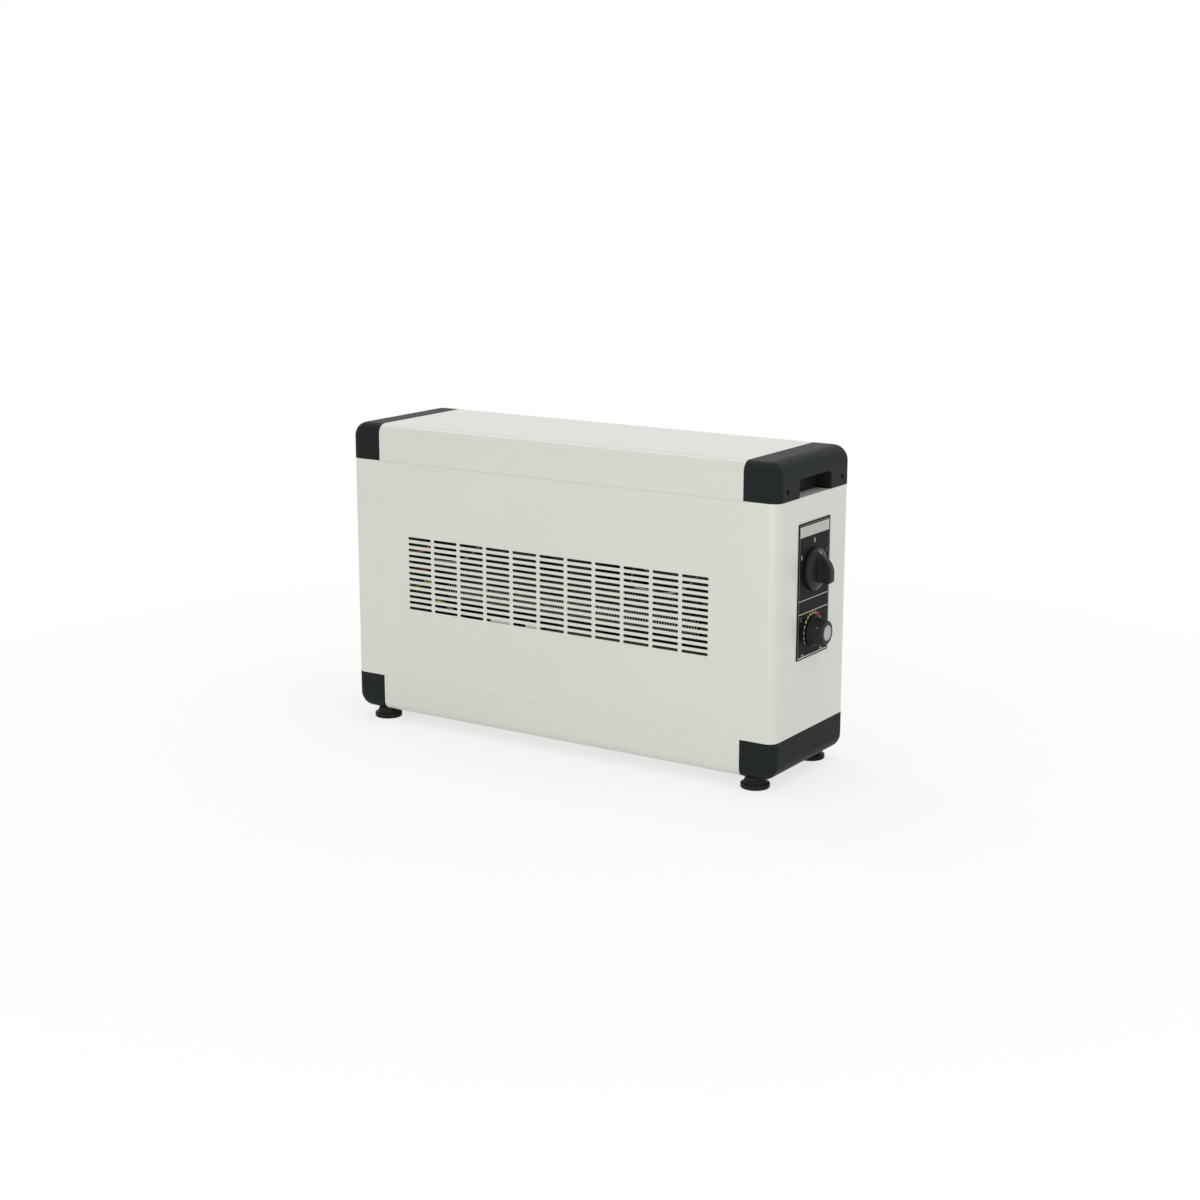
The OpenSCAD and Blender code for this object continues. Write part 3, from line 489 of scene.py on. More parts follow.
def link_piece(bm, name, material, body, sharp=SHARP):
    """Turns a bmesh into a piece that rides on a body, smooth except over its sharp edges."""
    for edge in bm.edges:
        edge.smooth = edge.is_manifold and edge.calc_face_angle(0) < sharp
    for face in bm.faces:
        face.smooth = True
    mesh = bpy.data.meshes.new(name)
    bm.to_mesh(mesh)
    bm.free()
    mesh.materials.append(material)
    piece = linked(name, mesh)
    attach(piece, body)
    return piece


def round_edges(piece, width, segments=2):
    """Rounds the sharp edges by a Bevel modifier, which leaves the mesh under it alone."""
    bevel = piece.modifiers.new("soft_edges", "BEVEL")
    bevel.width = width
    bevel.segments = segments
    bevel.limit_method = "ANGLE"
    bevel.angle_limit = SHARP
    bevel.use_clamp_overlap = False
    even_normals(piece)


def even_normals(piece):
    """Lets big flat faces set the shading, so narrow rounds don't darken them."""
    weighted = piece.modifiers.new("even_normals", "WEIGHTED_NORMAL")
    weighted.keep_sharp = True


def merged_copy(node_name):
    """A copy of a CAD node's mesh, closed along its edges and freed of needless triangles."""
    bm = bmesh.new()
    bm.from_mesh(frame["nodes"][node_name].data)
    bmesh.ops.remove_doubles(bm, verts=bm.verts[:], dist=MERGE_REACH)
    bmesh.ops.dissolve_limit(bm, angle_limit=FLAT_ANGLE, verts=bm.verts[:], edges=bm.edges[:])
    return bm


def stands_for(piece, node_name):
    """Hides a CAD node, so that a piece takes its place."""
    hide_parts(node_name)
    return piece


def soften(node_name, width, segments=2):
    """Replaces a CAD node by its own copy with rounded edges."""
    material = SLOT_FINISH[node_slot[node_name]]
    piece = link_piece(merged_copy(node_name), node_name + "_soft", material,
                       node_body[node_name])
    round_edges(piece, width, segments)
    return stands_for(piece, node_name)


SHEET_EDGE = 0.06 * MM
SMALL_EDGE = 0.15 * MM
for sheet_name in ("top_cover", "bottom_cover", "front_panel", "rear_panel", "left_side_panel",
                   "right_side_panel", "control_plate"):
    soften(sheet_name, SHEET_EDGE)
for small_name in ("cap_screws", "rear_screws", "bracket_screws", "motor_screws", "cable_gland",
                   "terminal_block"):
    soften(small_name, SMALL_EDGE)
print("softened sheets and small parts")

# %% [markdown]
# The seams between the sheets are narrow gaps with a lap behind them. Enamel gathers there, so
# a seam shows as a faint line and not as a dark slot. One piece holds a bead for every seam, a
# box a hair wider than the gap that ends a little below the face. The real thing is just thick
# paint, and a box is the plainest form that fills the gap.

# %% Enamel in the seams
SEAM_GAP = 0.4 * MM
SEAM_HALF = SEAM_GAP / 2 + 0.04 * MM
BEAD_DEPTH = 0.9 * MM
HIGH_SINK = 0.35 * MM
LOW_SINK = 0.2 * MM
SIDE_SINK = 0.1 * MM
seam_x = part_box("front_panel")[1].x - middle_x + SEAM_GAP / 2
beads = bmesh.new()


def add_block(bm, corner, opposite):
    """Adds a box between two opposite corners and gives back its points."""
    lo = Vector([min(pair) for pair in zip(corner, opposite)])
    hi = Vector([max(pair) for pair in zip(corner, opposite)])
    made = bmesh.ops.create_cube(bm, size=1)["verts"]
    bmesh.ops.scale(bm, vec=hi - lo, verts=made)
    bmesh.ops.translate(bm, vec=(lo + hi) / 2, verts=made)
    return made


def bead(x_from, x_to, z_from, z_to, sink):
    """Adds a bead at the front and one at the back, sunk below the face."""
    for outer, inward in ((front_y, 1), (back_y, -1)):
        add_block(beads, (middle_x + x_from, outer + inward * sink, z_from),
                  (middle_x + x_to, outer + inward * (sink + BEAD_DEPTH), z_to))


for seam_z, sink in ((high_seam, HIGH_SINK), (low_seam, LOW_SINK)):
    bead(-seam_x, seam_x, seam_z - SEAM_HALF, seam_z + SEAM_HALF, sink)
for side in (-seam_x, seam_x):
    bead(side - SEAM_HALF, side + SEAM_HALF, low_seam, high_seam, SIDE_SINK)
seam_beads = link_piece(beads, "seam_beads", paint, "casing")
print("seams at x", round(seam_x, 4), "and z", round(low_seam, 4), round(high_seam, 4))

# %% [markdown]
# ## The four moulded caps
#
# A moulded corner has no crease where its rounds meet: they flow into each other like a
# pillow's corner. The CAD gives the shell, recess and screw wells, with plain crossing rounds
# outside. Here a block is bevelled twice, first its long end round, then the whole outline of
# its front and back, and the CAD's shell is cut to that block with a Boolean. The block sits a
# hair inside the CAD's faces, so every outer face comes from the block.

# %% Cutting tools
CUT_MERGE = 0.004 * MM
CUT_FLAT = math.radians(0.4)


def hidden_object(bm, name):
    mesh = bpy.data.meshes.new(name)
    bm.to_mesh(mesh)
    bm.free()
    return linked(name, mesh)


def evaluated(holder):
    """A bmesh of an object as its modifiers or its curve shape it."""
    bpy.context.view_layer.update()
    shaped = holder.evaluated_get(bpy.context.evaluated_depsgraph_get())
    bm = bmesh.new()
    bm.from_mesh(shaped.to_mesh())
    shaped.to_mesh_clear()
    return bm


def cut(bm, tool_bm, operation):
    """Joins, cuts or trims one bmesh with another and gives back the result."""
    base = hidden_object(bm, "base")
    tool = hidden_object(tool_bm, "tool")
    boolean = base.modifiers.new("cut", "BOOLEAN")
    boolean.operation = operation
    boolean.solver = "EXACT"
    boolean.object = tool
    result = evaluated(base)
    for leftover in (base, tool):
        mesh = leftover.data
        bpy.data.objects.remove(leftover)
        bpy.data.meshes.remove(mesh)
    bmesh.ops.remove_doubles(result, verts=result.verts[:], dist=CUT_MERGE)
    bmesh.ops.dissolve_limit(result, angle_limit=CUT_FLAT, verts=result.verts[:],
                             edges=result.edges[:])
    return result


def block(corner, opposite):
    bm = bmesh.new()
    add_block(bm, corner, opposite)
    return bm


def rounded(bm, geom, offset, segments, affect="EDGES"):
    bmesh.ops.bevel(bm, geom=geom, offset=offset, segments=segments, affect=affect,
                    profile=0.5, material=-1)


def near(value, target, slack=0.02 * MM):
    return abs(value - target) < slack


print("cutting tools ready")

# %% [markdown]
# Each cap goes through the same three steps. Its end corners are filled from inside, where the
# rounder outside would thin the wall. The pillow block trims it. Then a Bevel modifier takes
# the last sharpness off the edges that are left, such as the recess and the seams.

# %% Caps
CAP_END_ROUND = 18 * MM
CAP_END_STEPS = 14
CAP_OUTLINE_ROUND = 12 * MM
CAP_OUTLINE_STEPS = 10
CAP_EDGE = 0.5 * MM
HAIR = 0.06 * MM
SPARE = 2 * MM
FILL_REACH = 15 * MM
FILL_DEPTH = 14 * MM


def pillow_block(node_name, is_right, is_top):
    """A cap's outer form: open-ended past the seams, rounded at its end and outline."""
    lo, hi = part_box(node_name)
    end = hi.x - HAIR if is_right else lo.x + HAIR
    seam = lo.x - SPARE if is_right else hi.x + SPARE
    outer = hi.z - HAIR if is_top else lo.z + HAIR
    inner = lo.z - SPARE if is_top else hi.z + SPARE
    front, back = lo.y + HAIR, hi.y - HAIR
    bm = block((end, front, outer), (seam, back, inner))
    end_edges = [e for e in bm.edges
                 if all(near(v.co.x, end) and near(v.co.z, outer) for v in e.verts)]
    rounded(bm, end_edges, CAP_END_ROUND, CAP_END_STEPS)
    outline = [e for e in bm.edges
               if any(all(near(v.co.y, side) for v in e.verts) for side in (front, back))
               and not all(near(v.co.x, seam) for v in e.verts)
               and not all(near(v.co.z, inner) for v in e.verts)]
    rounded(bm, outline, CAP_OUTLINE_ROUND, CAP_OUTLINE_STEPS)
    bmesh.ops.recalc_face_normals(bm, faces=bm.faces[:])
    return bm


def corner_fill(node_name, is_right, is_top):
    """Two blocks in a cap's end corners, one at the front and one at the back."""
    lo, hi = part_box(node_name)
    x_out, x_in = (hi.x, hi.x - FILL_REACH) if is_right else (lo.x, lo.x + FILL_REACH)
    z_out, z_in = (hi.z, hi.z - FILL_REACH) if is_top else (lo.z, lo.z + FILL_REACH)
    bm = bmesh.new()
    for y_out, y_in in ((lo.y, lo.y + FILL_DEPTH), (hi.y, hi.y - FILL_DEPTH)):
        add_block(bm, (x_out, y_out, z_out), (x_in, y_in, z_in))
    return bm


for cap_name, is_right, is_top in (("top_right_cap", True, True),
                                   ("top_left_cap", False, True),
                                   ("bottom_right_cap", True, False),
                                   ("bottom_left_cap", False, False)):
    thick = cut(merged_copy(cap_name), corner_fill(cap_name, is_right, is_top), "UNION")
    cap_form = cut(thick, pillow_block(cap_name, is_right, is_top), "INTERSECT")
    cap = link_piece(cap_form, cap_name + "_moulded", cap_plastic, "casing")
    round_edges(cap, CAP_EDGE, 3)
    stands_for(cap, cap_name)
    print(cap_name, len(cap.data.polygons), "faces")

# %% [markdown]
# ## Turned shapes
#
# Skirts, bores, discs and fins are all round. On a lathe or in a mould they come from one
# profile, so here a line of points, each a distance along the axis and a radius, is spun once
# round. The full turn is merged to itself, which leaves no seam.

# %% Turned shapes
def turned(profile, centre, axis="X", steps=64):
    """Spins points of (distance along the axis, radius) round an axis through a centre."""
    bm = bmesh.new()
    points = [bm.verts.new((along, radius, 0)) for along, radius in profile]
    for first, second in zip(points, points[1:]):
        bm.edges.new((first, second))
    if profile[0][1] > 0 and profile[-1][1] > 0:
        bm.edges.new((points[-1], points[0]))
    bmesh.ops.spin(bm, geom=bm.verts[:] + bm.edges[:], cent=(0, 0, 0), axis=(1, 0, 0),
                   angle=2 * math.pi, steps=steps, use_merge=True)
    bmesh.ops.remove_doubles(bm, verts=bm.verts[:], dist=0.001 * MM)
    bmesh.ops.recalc_face_normals(bm, faces=bm.faces[:])
    if axis == "Z":
        bmesh.ops.rotate(bm, cent=(0, 0, 0), matrix=Matrix.Rotation(-math.pi / 2, 3, "Y"),
                         verts=bm.verts[:])
    if axis == "Y":
        bmesh.ops.rotate(bm, cent=(0, 0, 0), matrix=Matrix.Rotation(math.pi / 2, 3, "Z"),
                         verts=bm.verts[:])
    bmesh.ops.translate(bm, vec=centre, verts=bm.verts[:])
    return bm


def grown_points(grown):
    """The points that an extrusion made."""
    return [item for item in grown["geom"] if isinstance(item, bmesh.types.BMVert)]


print("lathe ready")

# %% [markdown]
# ## The switch knob
#
# The knob is one moulding: a round skirt and a bar grip whose nose slopes down to the skirt and
# points at the mark. The skirt is turned. The bar starts as five points, its nose and heel are
# rounded with a vertex bevel, and it is extruded to its thickness. Its flanks are hollowed a
# little for finger and thumb. A Boolean joins the two and cuts the shaft's bore.

# %% Switch knob
KNOB_LIFT = switch_lo.x
KNOB_REACH = switch_hi.x
SKIRT_RADIUS = (switch_hi.y - switch_lo.y) / 2
SKIRT_EDGE = 3.5 * MM
SKIRT_SLOPE = 3 * MM
SKIRT_TOP = SKIRT_EDGE + SKIRT_SLOPE
SHOULDER_RADIUS = SKIRT_RADIUS - 2 * SKIRT_SLOPE
BAR_THICKNESS = 10 * MM
BAR_FOOT = KNOB_LIFT + MM
BAR_REACH = KNOB_REACH - 1.2 * MM
BAR_NOSE = 9 * MM
BAR_HEEL = 4 * MM
BAR_TIP = 22.8 * MM
BAR_TIP_LIFT = 3.5 * MM
BAR_BREAK = 6.6 * MM
BAR_TAIL = 15 * MM
BAR_ROUND = 1.6 * MM
BAR_RIM_ANGLE = math.radians(60)
GRIP_HOLLOW = 0.22
GRIP_STEPS = 14
SHAFT_BORE = 3.02 * MM
SHAFT_DEPTH = 14 * MM
nose_start = Vector((face_x + BAR_TIP_LIFT, plate_y, switch_axis_z + BAR_TIP))
nose_end = Vector((BAR_REACH, plate_y, switch_axis_z + BAR_BREAK))

skirt = turned([(0, 0), (0, SKIRT_RADIUS - 0.4 * MM), (0.4 * MM, SKIRT_RADIUS),
                (SKIRT_EDGE - 0.5 * MM, SKIRT_RADIUS),
                (SKIRT_EDGE, SKIRT_RADIUS - 0.25 * MM),
                (SKIRT_EDGE + 0.35 * MM, SKIRT_RADIUS - 0.8 * MM),
                (SKIRT_TOP - 0.2 * MM, SHOULDER_RADIUS + 0.3 * MM),
                (SKIRT_TOP, SHOULDER_RADIUS - 0.6 * MM),
                (SKIRT_TOP, 0)], (KNOB_LIFT, plate_y, switch_axis_z), steps=96)


def bar_form():
    """The grip: a rounded outline, extruded across and hollowed on both flanks."""
    bm = bmesh.new()
    near_side = plate_y - BAR_THICKNESS / 2
    heel_z = switch_axis_z - BAR_TAIL
    corners = [(BAR_FOOT, heel_z), (BAR_REACH, heel_z), (nose_end.x, nose_end.z),
               (nose_start.x, nose_start.z), (BAR_FOOT, nose_start.z)]
    verts = [bm.verts.new((x, near_side, z)) for x, z in corners]
    bm.faces.new(verts)
    for vert, reach in ((verts[2], BAR_NOSE), (verts[1], BAR_HEEL)):
        rounded(bm, [vert], reach, 16, affect="VERTICES")
    moved = grown_points(bmesh.ops.extrude_face_region(bm, geom=bm.faces[:]))
    bmesh.ops.translate(bm, vec=(0, BAR_THICKNESS, 0), verts=moved)
    bmesh.ops.recalc_face_normals(bm, faces=bm.faces[:])
    rims = [e for e in bm.edges if near(e.verts[0].co.y, e.verts[1].co.y)
            and e.calc_face_angle(0) > BAR_RIM_ANGLE]
    rounded(bm, rims, BAR_ROUND, 5)
    for step in range(1, GRIP_STEPS):
        along = KNOB_LIFT + (BAR_REACH - KNOB_LIFT) * step / GRIP_STEPS
        bmesh.ops.bisect_plane(bm, geom=bm.verts[:] + bm.edges[:] + bm.faces[:],
                               plane_co=(along, 0, 0), plane_no=(1, 0, 0))
    for vert in bm.verts:
        share = (vert.co.x - KNOB_LIFT) / (BAR_REACH - KNOB_LIFT)
        hollow = 1 - GRIP_HOLLOW * math.sin(math.pi * share) ** 2
        vert.co.y = plate_y + (vert.co.y - plate_y) * hollow
    return bm


bore = turned([(-MM, 0), (-MM, SHAFT_BORE), (SHAFT_DEPTH, SHAFT_BORE), (SHAFT_DEPTH, 0)],
              (KNOB_LIFT, plate_y, switch_axis_z), steps=32)
knob_form = cut(cut(skirt, bar_form(), "UNION"), bore, "DIFFERENCE")
switch_knob = link_piece(knob_form, "switch_knob_moulded", knob_plastic, "switch")
even_normals(switch_knob)
stands_for(switch_knob, "switch_knob")
print("switch knob", len(switch_knob.data.polygons), "faces")

# %% [markdown]
# ## The thermostat knob
#
# A smaller knob: a round foot, a fluted body that a finger and thumb can turn, and a bright
# spun disc pressed in its end. The body starts as one circle. The points of each flute are
# drawn in towards the middle, and the outline is extruded outwards, so the flutes run along it.

# %% Thermostat knob
FLUTES = 24
FLUTE_SHAPE = (1.0, 1.0, 0.972, 0.955, 0.972, 1.0)
BODY_RADIUS = 16.5 * MM
# Rings of the body: the share of its length and the radius in millimetres
BODY_RINGS = ((0.90, 14.1), (0.965, 13.7), (1.0, 12.7))
FOOT_HEIGHT = 2.5 * MM
FOOT_RADIUS = BODY_RADIUS + MM
SEAT_DEPTH = 3 * MM
SEAT_GAP = 0.05 * MM
SEAT_SINK = 0.02 * MM
HOLE_DEPTH = 13 * MM
DISC_RADIUS = 8.8 * MM
DISC_GROOVE = 0.25 * MM
knob_foot_x = thermostat_lo.x
knob_end_x = thermostat_hi.x
disc_lo, disc_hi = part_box("thermostat_knob_cap")
thermostat_place = (knob_foot_x, plate_y, thermostat_axis_z)


def fluted_body():
    """The grip: a fluted outline, extruded in rings that close in towards the end."""
    bm = bmesh.new()
    bmesh.ops.create_circle(bm, cap_ends=True, radius=BODY_RADIUS,
                            segments=FLUTES * len(FLUTE_SHAPE))
    bmesh.ops.rotate(bm, cent=(0, 0, 0), matrix=Matrix.Rotation(math.pi / 2, 3, "Y"),
                     verts=bm.verts[:])
    ring = sorted(bm.verts, key=lambda v: math.atan2(v.co.y, v.co.z))
    for index, vert in enumerate(ring):
        share = FLUTE_SHAPE[index % len(FLUTE_SHAPE)]
        vert.co.y *= share
        vert.co.z *= share
    length = knob_end_x - knob_foot_x - FOOT_HEIGHT
    last = BODY_RADIUS
    # Only the first face stays, as the base: the others would be walls inside
    base = next(iter(bm.faces))
    for along, reach in BODY_RINGS:
        face = max(bm.faces, key=lambda f: f.calc_center_median().x)
        moved = grown_points(bmesh.ops.extrude_face_region(bm, geom=[face]))
        if face != base:
            bmesh.ops.delete(bm, geom=[face], context="FACES_ONLY")
        here = moved[0].co.x
        bmesh.ops.translate(bm, vec=(along * length - here, 0, 0), verts=moved)
        scale = reach * MM / last
        last = reach * MM
        bmesh.ops.scale(bm, vec=(1, scale, scale), verts=moved)
    bmesh.ops.recalc_face_normals(bm, faces=bm.faces[:])
    bmesh.ops.translate(bm, vec=(knob_foot_x + FOOT_HEIGHT, plate_y, thermostat_axis_z),
                        verts=bm.verts[:])
    return bm


knob_foot = turned([(0, 0), (0, BODY_RADIUS + 0.6 * MM), (0.4 * MM, FOOT_RADIUS),
                    (FOOT_HEIGHT - 0.6 * MM, FOOT_RADIUS),
                    (FOOT_HEIGHT - 0.15 * MM, BODY_RADIUS + 0.8 * MM),
                    (FOOT_HEIGHT + 0.1 * MM, BODY_RADIUS + 0.3 * MM),
                    (FOOT_HEIGHT + 0.1 * MM, 0)], thermostat_place, steps=96)
seat = turned([(0, 0), (0, DISC_RADIUS + SEAT_GAP), (SEAT_DEPTH, DISC_RADIUS + SEAT_GAP),
               (SEAT_DEPTH, 0)], (disc_lo.x - SEAT_SINK, plate_y, thermostat_axis_z), steps=64)
shaft_hole = turned([(-MM, 0), (-MM, SHAFT_BORE), (HOLE_DEPTH, SHAFT_BORE), (HOLE_DEPTH, 0)],
                    thermostat_place, steps=32)
with_foot = cut(fluted_body(), knob_foot, "UNION")
thermostat_form = cut(cut(with_foot, seat, "DIFFERENCE"), shaft_hole, "DIFFERENCE")
thermostat_knob = link_piece(thermostat_form, "thermostat_knob_moulded", knob_plastic,
                             "thermostat", sharp=math.radians(40))
even_normals(thermostat_knob)
stands_for(thermostat_knob, "thermostat_knob")

disc_height = disc_hi.x - disc_lo.x
disc = turned([(0, 0), (0, DISC_RADIUS), (disc_height - DISC_GROOVE, DISC_RADIUS),
               (disc_height, DISC_RADIUS - 0.3 * MM), (disc_height, DISC_RADIUS - 1.1 * MM),
               (disc_height - DISC_GROOVE, DISC_RADIUS - 1.5 * MM),
               (disc_height - DISC_GROOVE, 0)],
              (disc_lo.x, plate_y, thermostat_axis_z), steps=64)
disc_piece = link_piece(disc, "thermostat_disc_spun", bright_disc, "thermostat")
stands_for(disc_piece, "thermostat_knob_cap")
print("thermostat knob", len(thermostat_knob.data.polygons), "faces")

# %% [markdown]
# The feet are moulded pads with a rim and a cone up to the stud. The CAD has turned them, so
# they only need the small rounds of a moulding, by the same bevel as the sheets but wider.

# %% Feet
FOOT_EDGE = 0.3 * MM
foot_names = ("front_left_foot", "front_right_foot", "rear_left_foot", "rear_right_foot")
for foot_name in foot_names:
    soften(foot_name, FOOT_EDGE, 3)
print("feet", len(foot_names))

# %% [markdown]
# ## Print on the control plate
#
# The plate is a black enamelled sheet, screen printed in white and in the colours of a
# temperature scale. Ink is a film, so each mark is a solid a few hundredths of a millimetre
# thick. It rides on the casing while the knobs turn over it. Bands and lines are thin boxes.

# %% Inks
def ink(name, tone):
    darker = [channel * 0.94 for channel in tone]
    return finish(name, clouded(220.0, tone, darker), 0.5)


white_ink = ink("white_ink", (206, 208, 205))
grey_ink = ink("grey_ink", (190, 190, 186))
line_ink = ink("line_ink", (130, 132, 128))
dim_ink = ink("dim_ink", (120, 122, 118))
cream_ink = ink("cream_ink", (206, 202, 158))
yellow_ink = ink("yellow_ink", (206, 178, 98))
orange_ink = ink("orange_ink", (204, 112, 48))
red_ink = ink("red_ink", (158, 44, 40))
INK = 0.06 * MM
INK_SINK = 0.02 * MM


def strip(bm, y_from, y_to, z_from, z_to):
    """Adds a film between two corners on the plate and gives back its points."""
    return add_block(bm, (face_x - INK_SINK, y_from, z_from), (face_x + INK, y_to, z_to))


def printed(bm, name, ink_material):
    piece = link_piece(bm, name, ink_material, "casing")


BORDER = 2.2 * MM
LINE = 0.6 * MM
TOP_LIFT = 0.4 * MM
BAND_INSET = 2.9 * MM
BAND_LOW = 16.1 * MM
BAND_TOP = 3.8 * MM
left, right_side = plate_lo.y + BORDER, plate_hi.y - BORDER
bottom, top = plate_lo.z + BORDER, plate_hi.z - BORDER + TOP_LIFT
# Rules: the height of each one's middle and half its thickness
RULES = ((plate_z - 10.4 * MM, 0.4 * MM), (plate_z - 25.55 * MM, 0.4 * MM),
         (bottom, 0.55 * MM))

band = bmesh.new()
strip(band, plate_lo.y + BAND_INSET, plate_hi.y - BAND_INSET, plate_hi.z - BAND_LOW,
      plate_hi.z - BAND_TOP)
printed(band, "print_band", grey_ink)

lines = bmesh.new()
strip(lines, left, left + LINE, bottom, top)
printed(lines, "print_border", line_ink)

far_lines = bmesh.new()
strip(far_lines, right_side - LINE, right_side, bottom, top)
strip(far_lines, left, right_side, top - LINE, top)
printed(far_lines, "print_far_lines", dim_ink)

rules = bmesh.new()
for rule_z, half in RULES:
    strip(rules, left, right_side, rule_z - half, rule_z + half)
printed(rules, "print_rules", white_ink)
print("band, border and rules printed")

# %% [markdown]
# The temperature scale is a row of dashes round the thermostat knob. They get taller and
# redder towards the hot end. Each is printed at the top of the ring and turned to its place.

# %% Temperature scale
SCALE_RADIUS = 21.5 * MM
SCALE_HALF = 119
DASHES = 15
DASH_HALF = 2.1 * MM
DASH_COLD = 0.7
DASH_GROWTH = 4.4
# Tones: a name, its ink and the share of the scale that it ends at
TONES = (("cream", cream_ink, 0.3), ("yellow", yellow_ink, 0.43), ("orange", orange_ink, 0.59),
         ("red", red_ink, 1.01))
scale_parts = {tone: bmesh.new() for tone, tone_ink, limit in TONES}
for index in range(DASHES):
    share = index / (DASHES - 1)
    angle = math.radians(SCALE_HALF * (1 - 2 * share))
    tall = (DASH_COLD + DASH_GROWTH * share) * MM
    middle_z = thermostat_axis_z + SCALE_RADIUS
    part = scale_parts[next(tone for tone, tone_ink, limit in TONES if share < limit)]
    dash = strip(part, plate_y - DASH_HALF, plate_y + DASH_HALF, middle_z - tall / 2,
                 middle_z + tall / 2)
    bmesh.ops.rotate(part, cent=(face_x, plate_y, thermostat_axis_z),
                     matrix=Matrix.Rotation(angle, 3, "X"), verts=dash)
for tone, tone_ink, limit in TONES:
    printed(scale_parts[tone], "print_scale_" + tone, tone_ink)
print("scale dashes", DASHES)

# %% [markdown]
# Figures, the unit and the two generic words at the scale's ends are text curves. Each is
# extruded to the film's thickness, turned into a mesh, stood up and laid on the plate.

# %% Numerals
CAPITAL_SHARE = 0.72


def numeral(text, y, z, height, ink_material, name, bold=0.0):
    """Generic figures as a thin film on the plate, centred on a place."""
    curve = bpy.data.curves.new(name, "FONT")
    curve.body = text
    curve.size = height / CAPITAL_SHARE
    curve.align_x = "CENTER"
    curve.align_y = "CENTER"
    curve.extrude = (INK + INK_SINK) / 2
    curve.resolution_u = 4
    curve.offset = bold
    writer = linked(name + "_text", curve)
    bm = evaluated(writer)
    bpy.data.objects.remove(writer)
    bpy.data.curves.remove(curve)
    middle = [(min(v.co[i] for v in bm.verts) + max(v.co[i] for v in bm.verts)) / 2
              for i in (0, 1)]
    bmesh.ops.translate(bm, vec=(-middle[0], -middle[1], 0), verts=bm.verts[:])
    stand = Matrix(((0, 0, 1), (1, 0, 0), (0, 1, 0)))
    bmesh.ops.rotate(bm, cent=(0, 0, 0), matrix=stand, verts=bm.verts[:])
    bmesh.ops.translate(bm, vec=(face_x + (INK - INK_SINK) / 2, y, z), verts=bm.verts[:])
    bmesh.ops.remove_doubles(bm, verts=bm.verts[:], dist=0.001 * MM)
    printed(bm, name, ink_material)


# Marks of the switch: a figure, its angle in degrees, and in millimetres its distance from
# the shaft, its height and how much its strokes are thickened
MARKS = (("0", 0, 33.1, 6, 0, grey_ink), ("1", 60, 34.9, 5, 0.25, white_ink),
         ("2", -60, 34.9, 4.6, 0, dim_ink))
for text, degrees, reach, height, bold, mark_ink in MARKS:
    angle = math.radians(degrees)
    numeral(text, plate_y - reach * MM * math.sin(angle),
            switch_axis_z + reach * MM * math.cos(angle), height * MM, mark_ink,
            "print_mark_" + text, bold * MM)
# Marks of the scale: a text, its place across and above the shaft and its height
for text, across, above, height, mark_ink, name in (
        ("°C", -30.2, 18.4, 4.5, line_ink, "print_unit"),
        ("MIN", -24.3, -23.8, 2.4, white_ink, "print_low_end"),
        ("MAX", 20.5, -23.9, 2.4, white_ink, "print_high_end")):
    numeral(text, plate_y + across * MM, thermostat_axis_z + above * MM, height * MM, mark_ink,
            name)
print("numerals printed")

# %% [markdown]
# The knobs carry a pale mark each: a white line on the bar's nose, and a small grey mark on
# the thermostat knob's side. Each is a thin block sunk into its knob, and it rides on that
# knob's body, so it turns with it.

# %% Marks on the knobs
NOSE_MARK = Vector((5.5 * MM, 1.3 * MM, 0.4 * MM))
NOSE_MARK_PLACE = 4.4 * MM
NOSE_MARK_SINK = 0.15 * MM
SIDE_MARK = Vector((1.8 * MM, 1.5 * MM, 0.9 * MM))
SIDE_MARK_OUT = 11.9 * MM
KNOB_SIDE = 14.75 * MM
REST_TURN = math.radians(60)


def nose_mark_block():
    bm = bmesh.new()
    slope = nose_end - nose_start
    along = slope.normalized()
    outward = Vector((-along.z, 0, along.x))
    add_block(bm, -NOSE_MARK / 2, NOSE_MARK / 2)
    tilt = Matrix.Rotation(math.atan2(-slope.z, slope.x), 3, "Y")
    bmesh.ops.rotate(bm, cent=(0, 0, 0), matrix=tilt, verts=bm.verts[:])
    place = nose_start + along * NOSE_MARK_PLACE - outward * NOSE_MARK_SINK
    bmesh.ops.translate(bm, vec=place, verts=bm.verts[:])
    return bm


switch_nose_mark = link_piece(nose_mark_block(), "switch_nose_mark", white_ink, "switch")

side_place = Vector((face_x + SIDE_MARK_OUT, plate_y, thermostat_axis_z + KNOB_SIDE))
side_mark = block(side_place - SIDE_MARK / 2, side_place + SIDE_MARK / 2)
bmesh.ops.rotate(side_mark, cent=(0, plate_y, thermostat_axis_z),
                 matrix=Matrix.Rotation(REST_TURN, 3, "X"), verts=side_mark.verts[:])
thermostat_side_mark = link_piece(side_mark, "thermostat_side_mark", dim_ink, "thermostat")
print("pointers set")

# %% [markdown]
# ## Inside, behind the slots
#
# The tube of the element carries a thin steel strip wound on edge, close enough that it shows
# as fine dots through the slots. One comb-shaped profile is spun round each run of the tube.

# %% Fins
TUBE_BORE = 4.35 * MM
COLLAR = 4.85 * MM
FIN_PITCH = 3.65 * MM
FIN_THICKNESS = 0.8 * MM
FIN_STEPS = 24


def fin_profile():
    """A comb: a collar on the tube with a fin at every pitch."""
    count = int((fins_hi.x - fins_lo.x) / FIN_PITCH)
    points = [(0, TUBE_BORE), (0, COLLAR)]
    for index in range(count):
        fin_end = (index + 1) * FIN_PITCH
        points += [(fin_end - FIN_THICKNESS, COLLAR), (fin_end - FIN_THICKNESS, FIN_RADIUS),
                   (fin_end, FIN_RADIUS), (fin_end, COLLAR)]
    return points + [(count * FIN_PITCH, TUBE_BORE)]


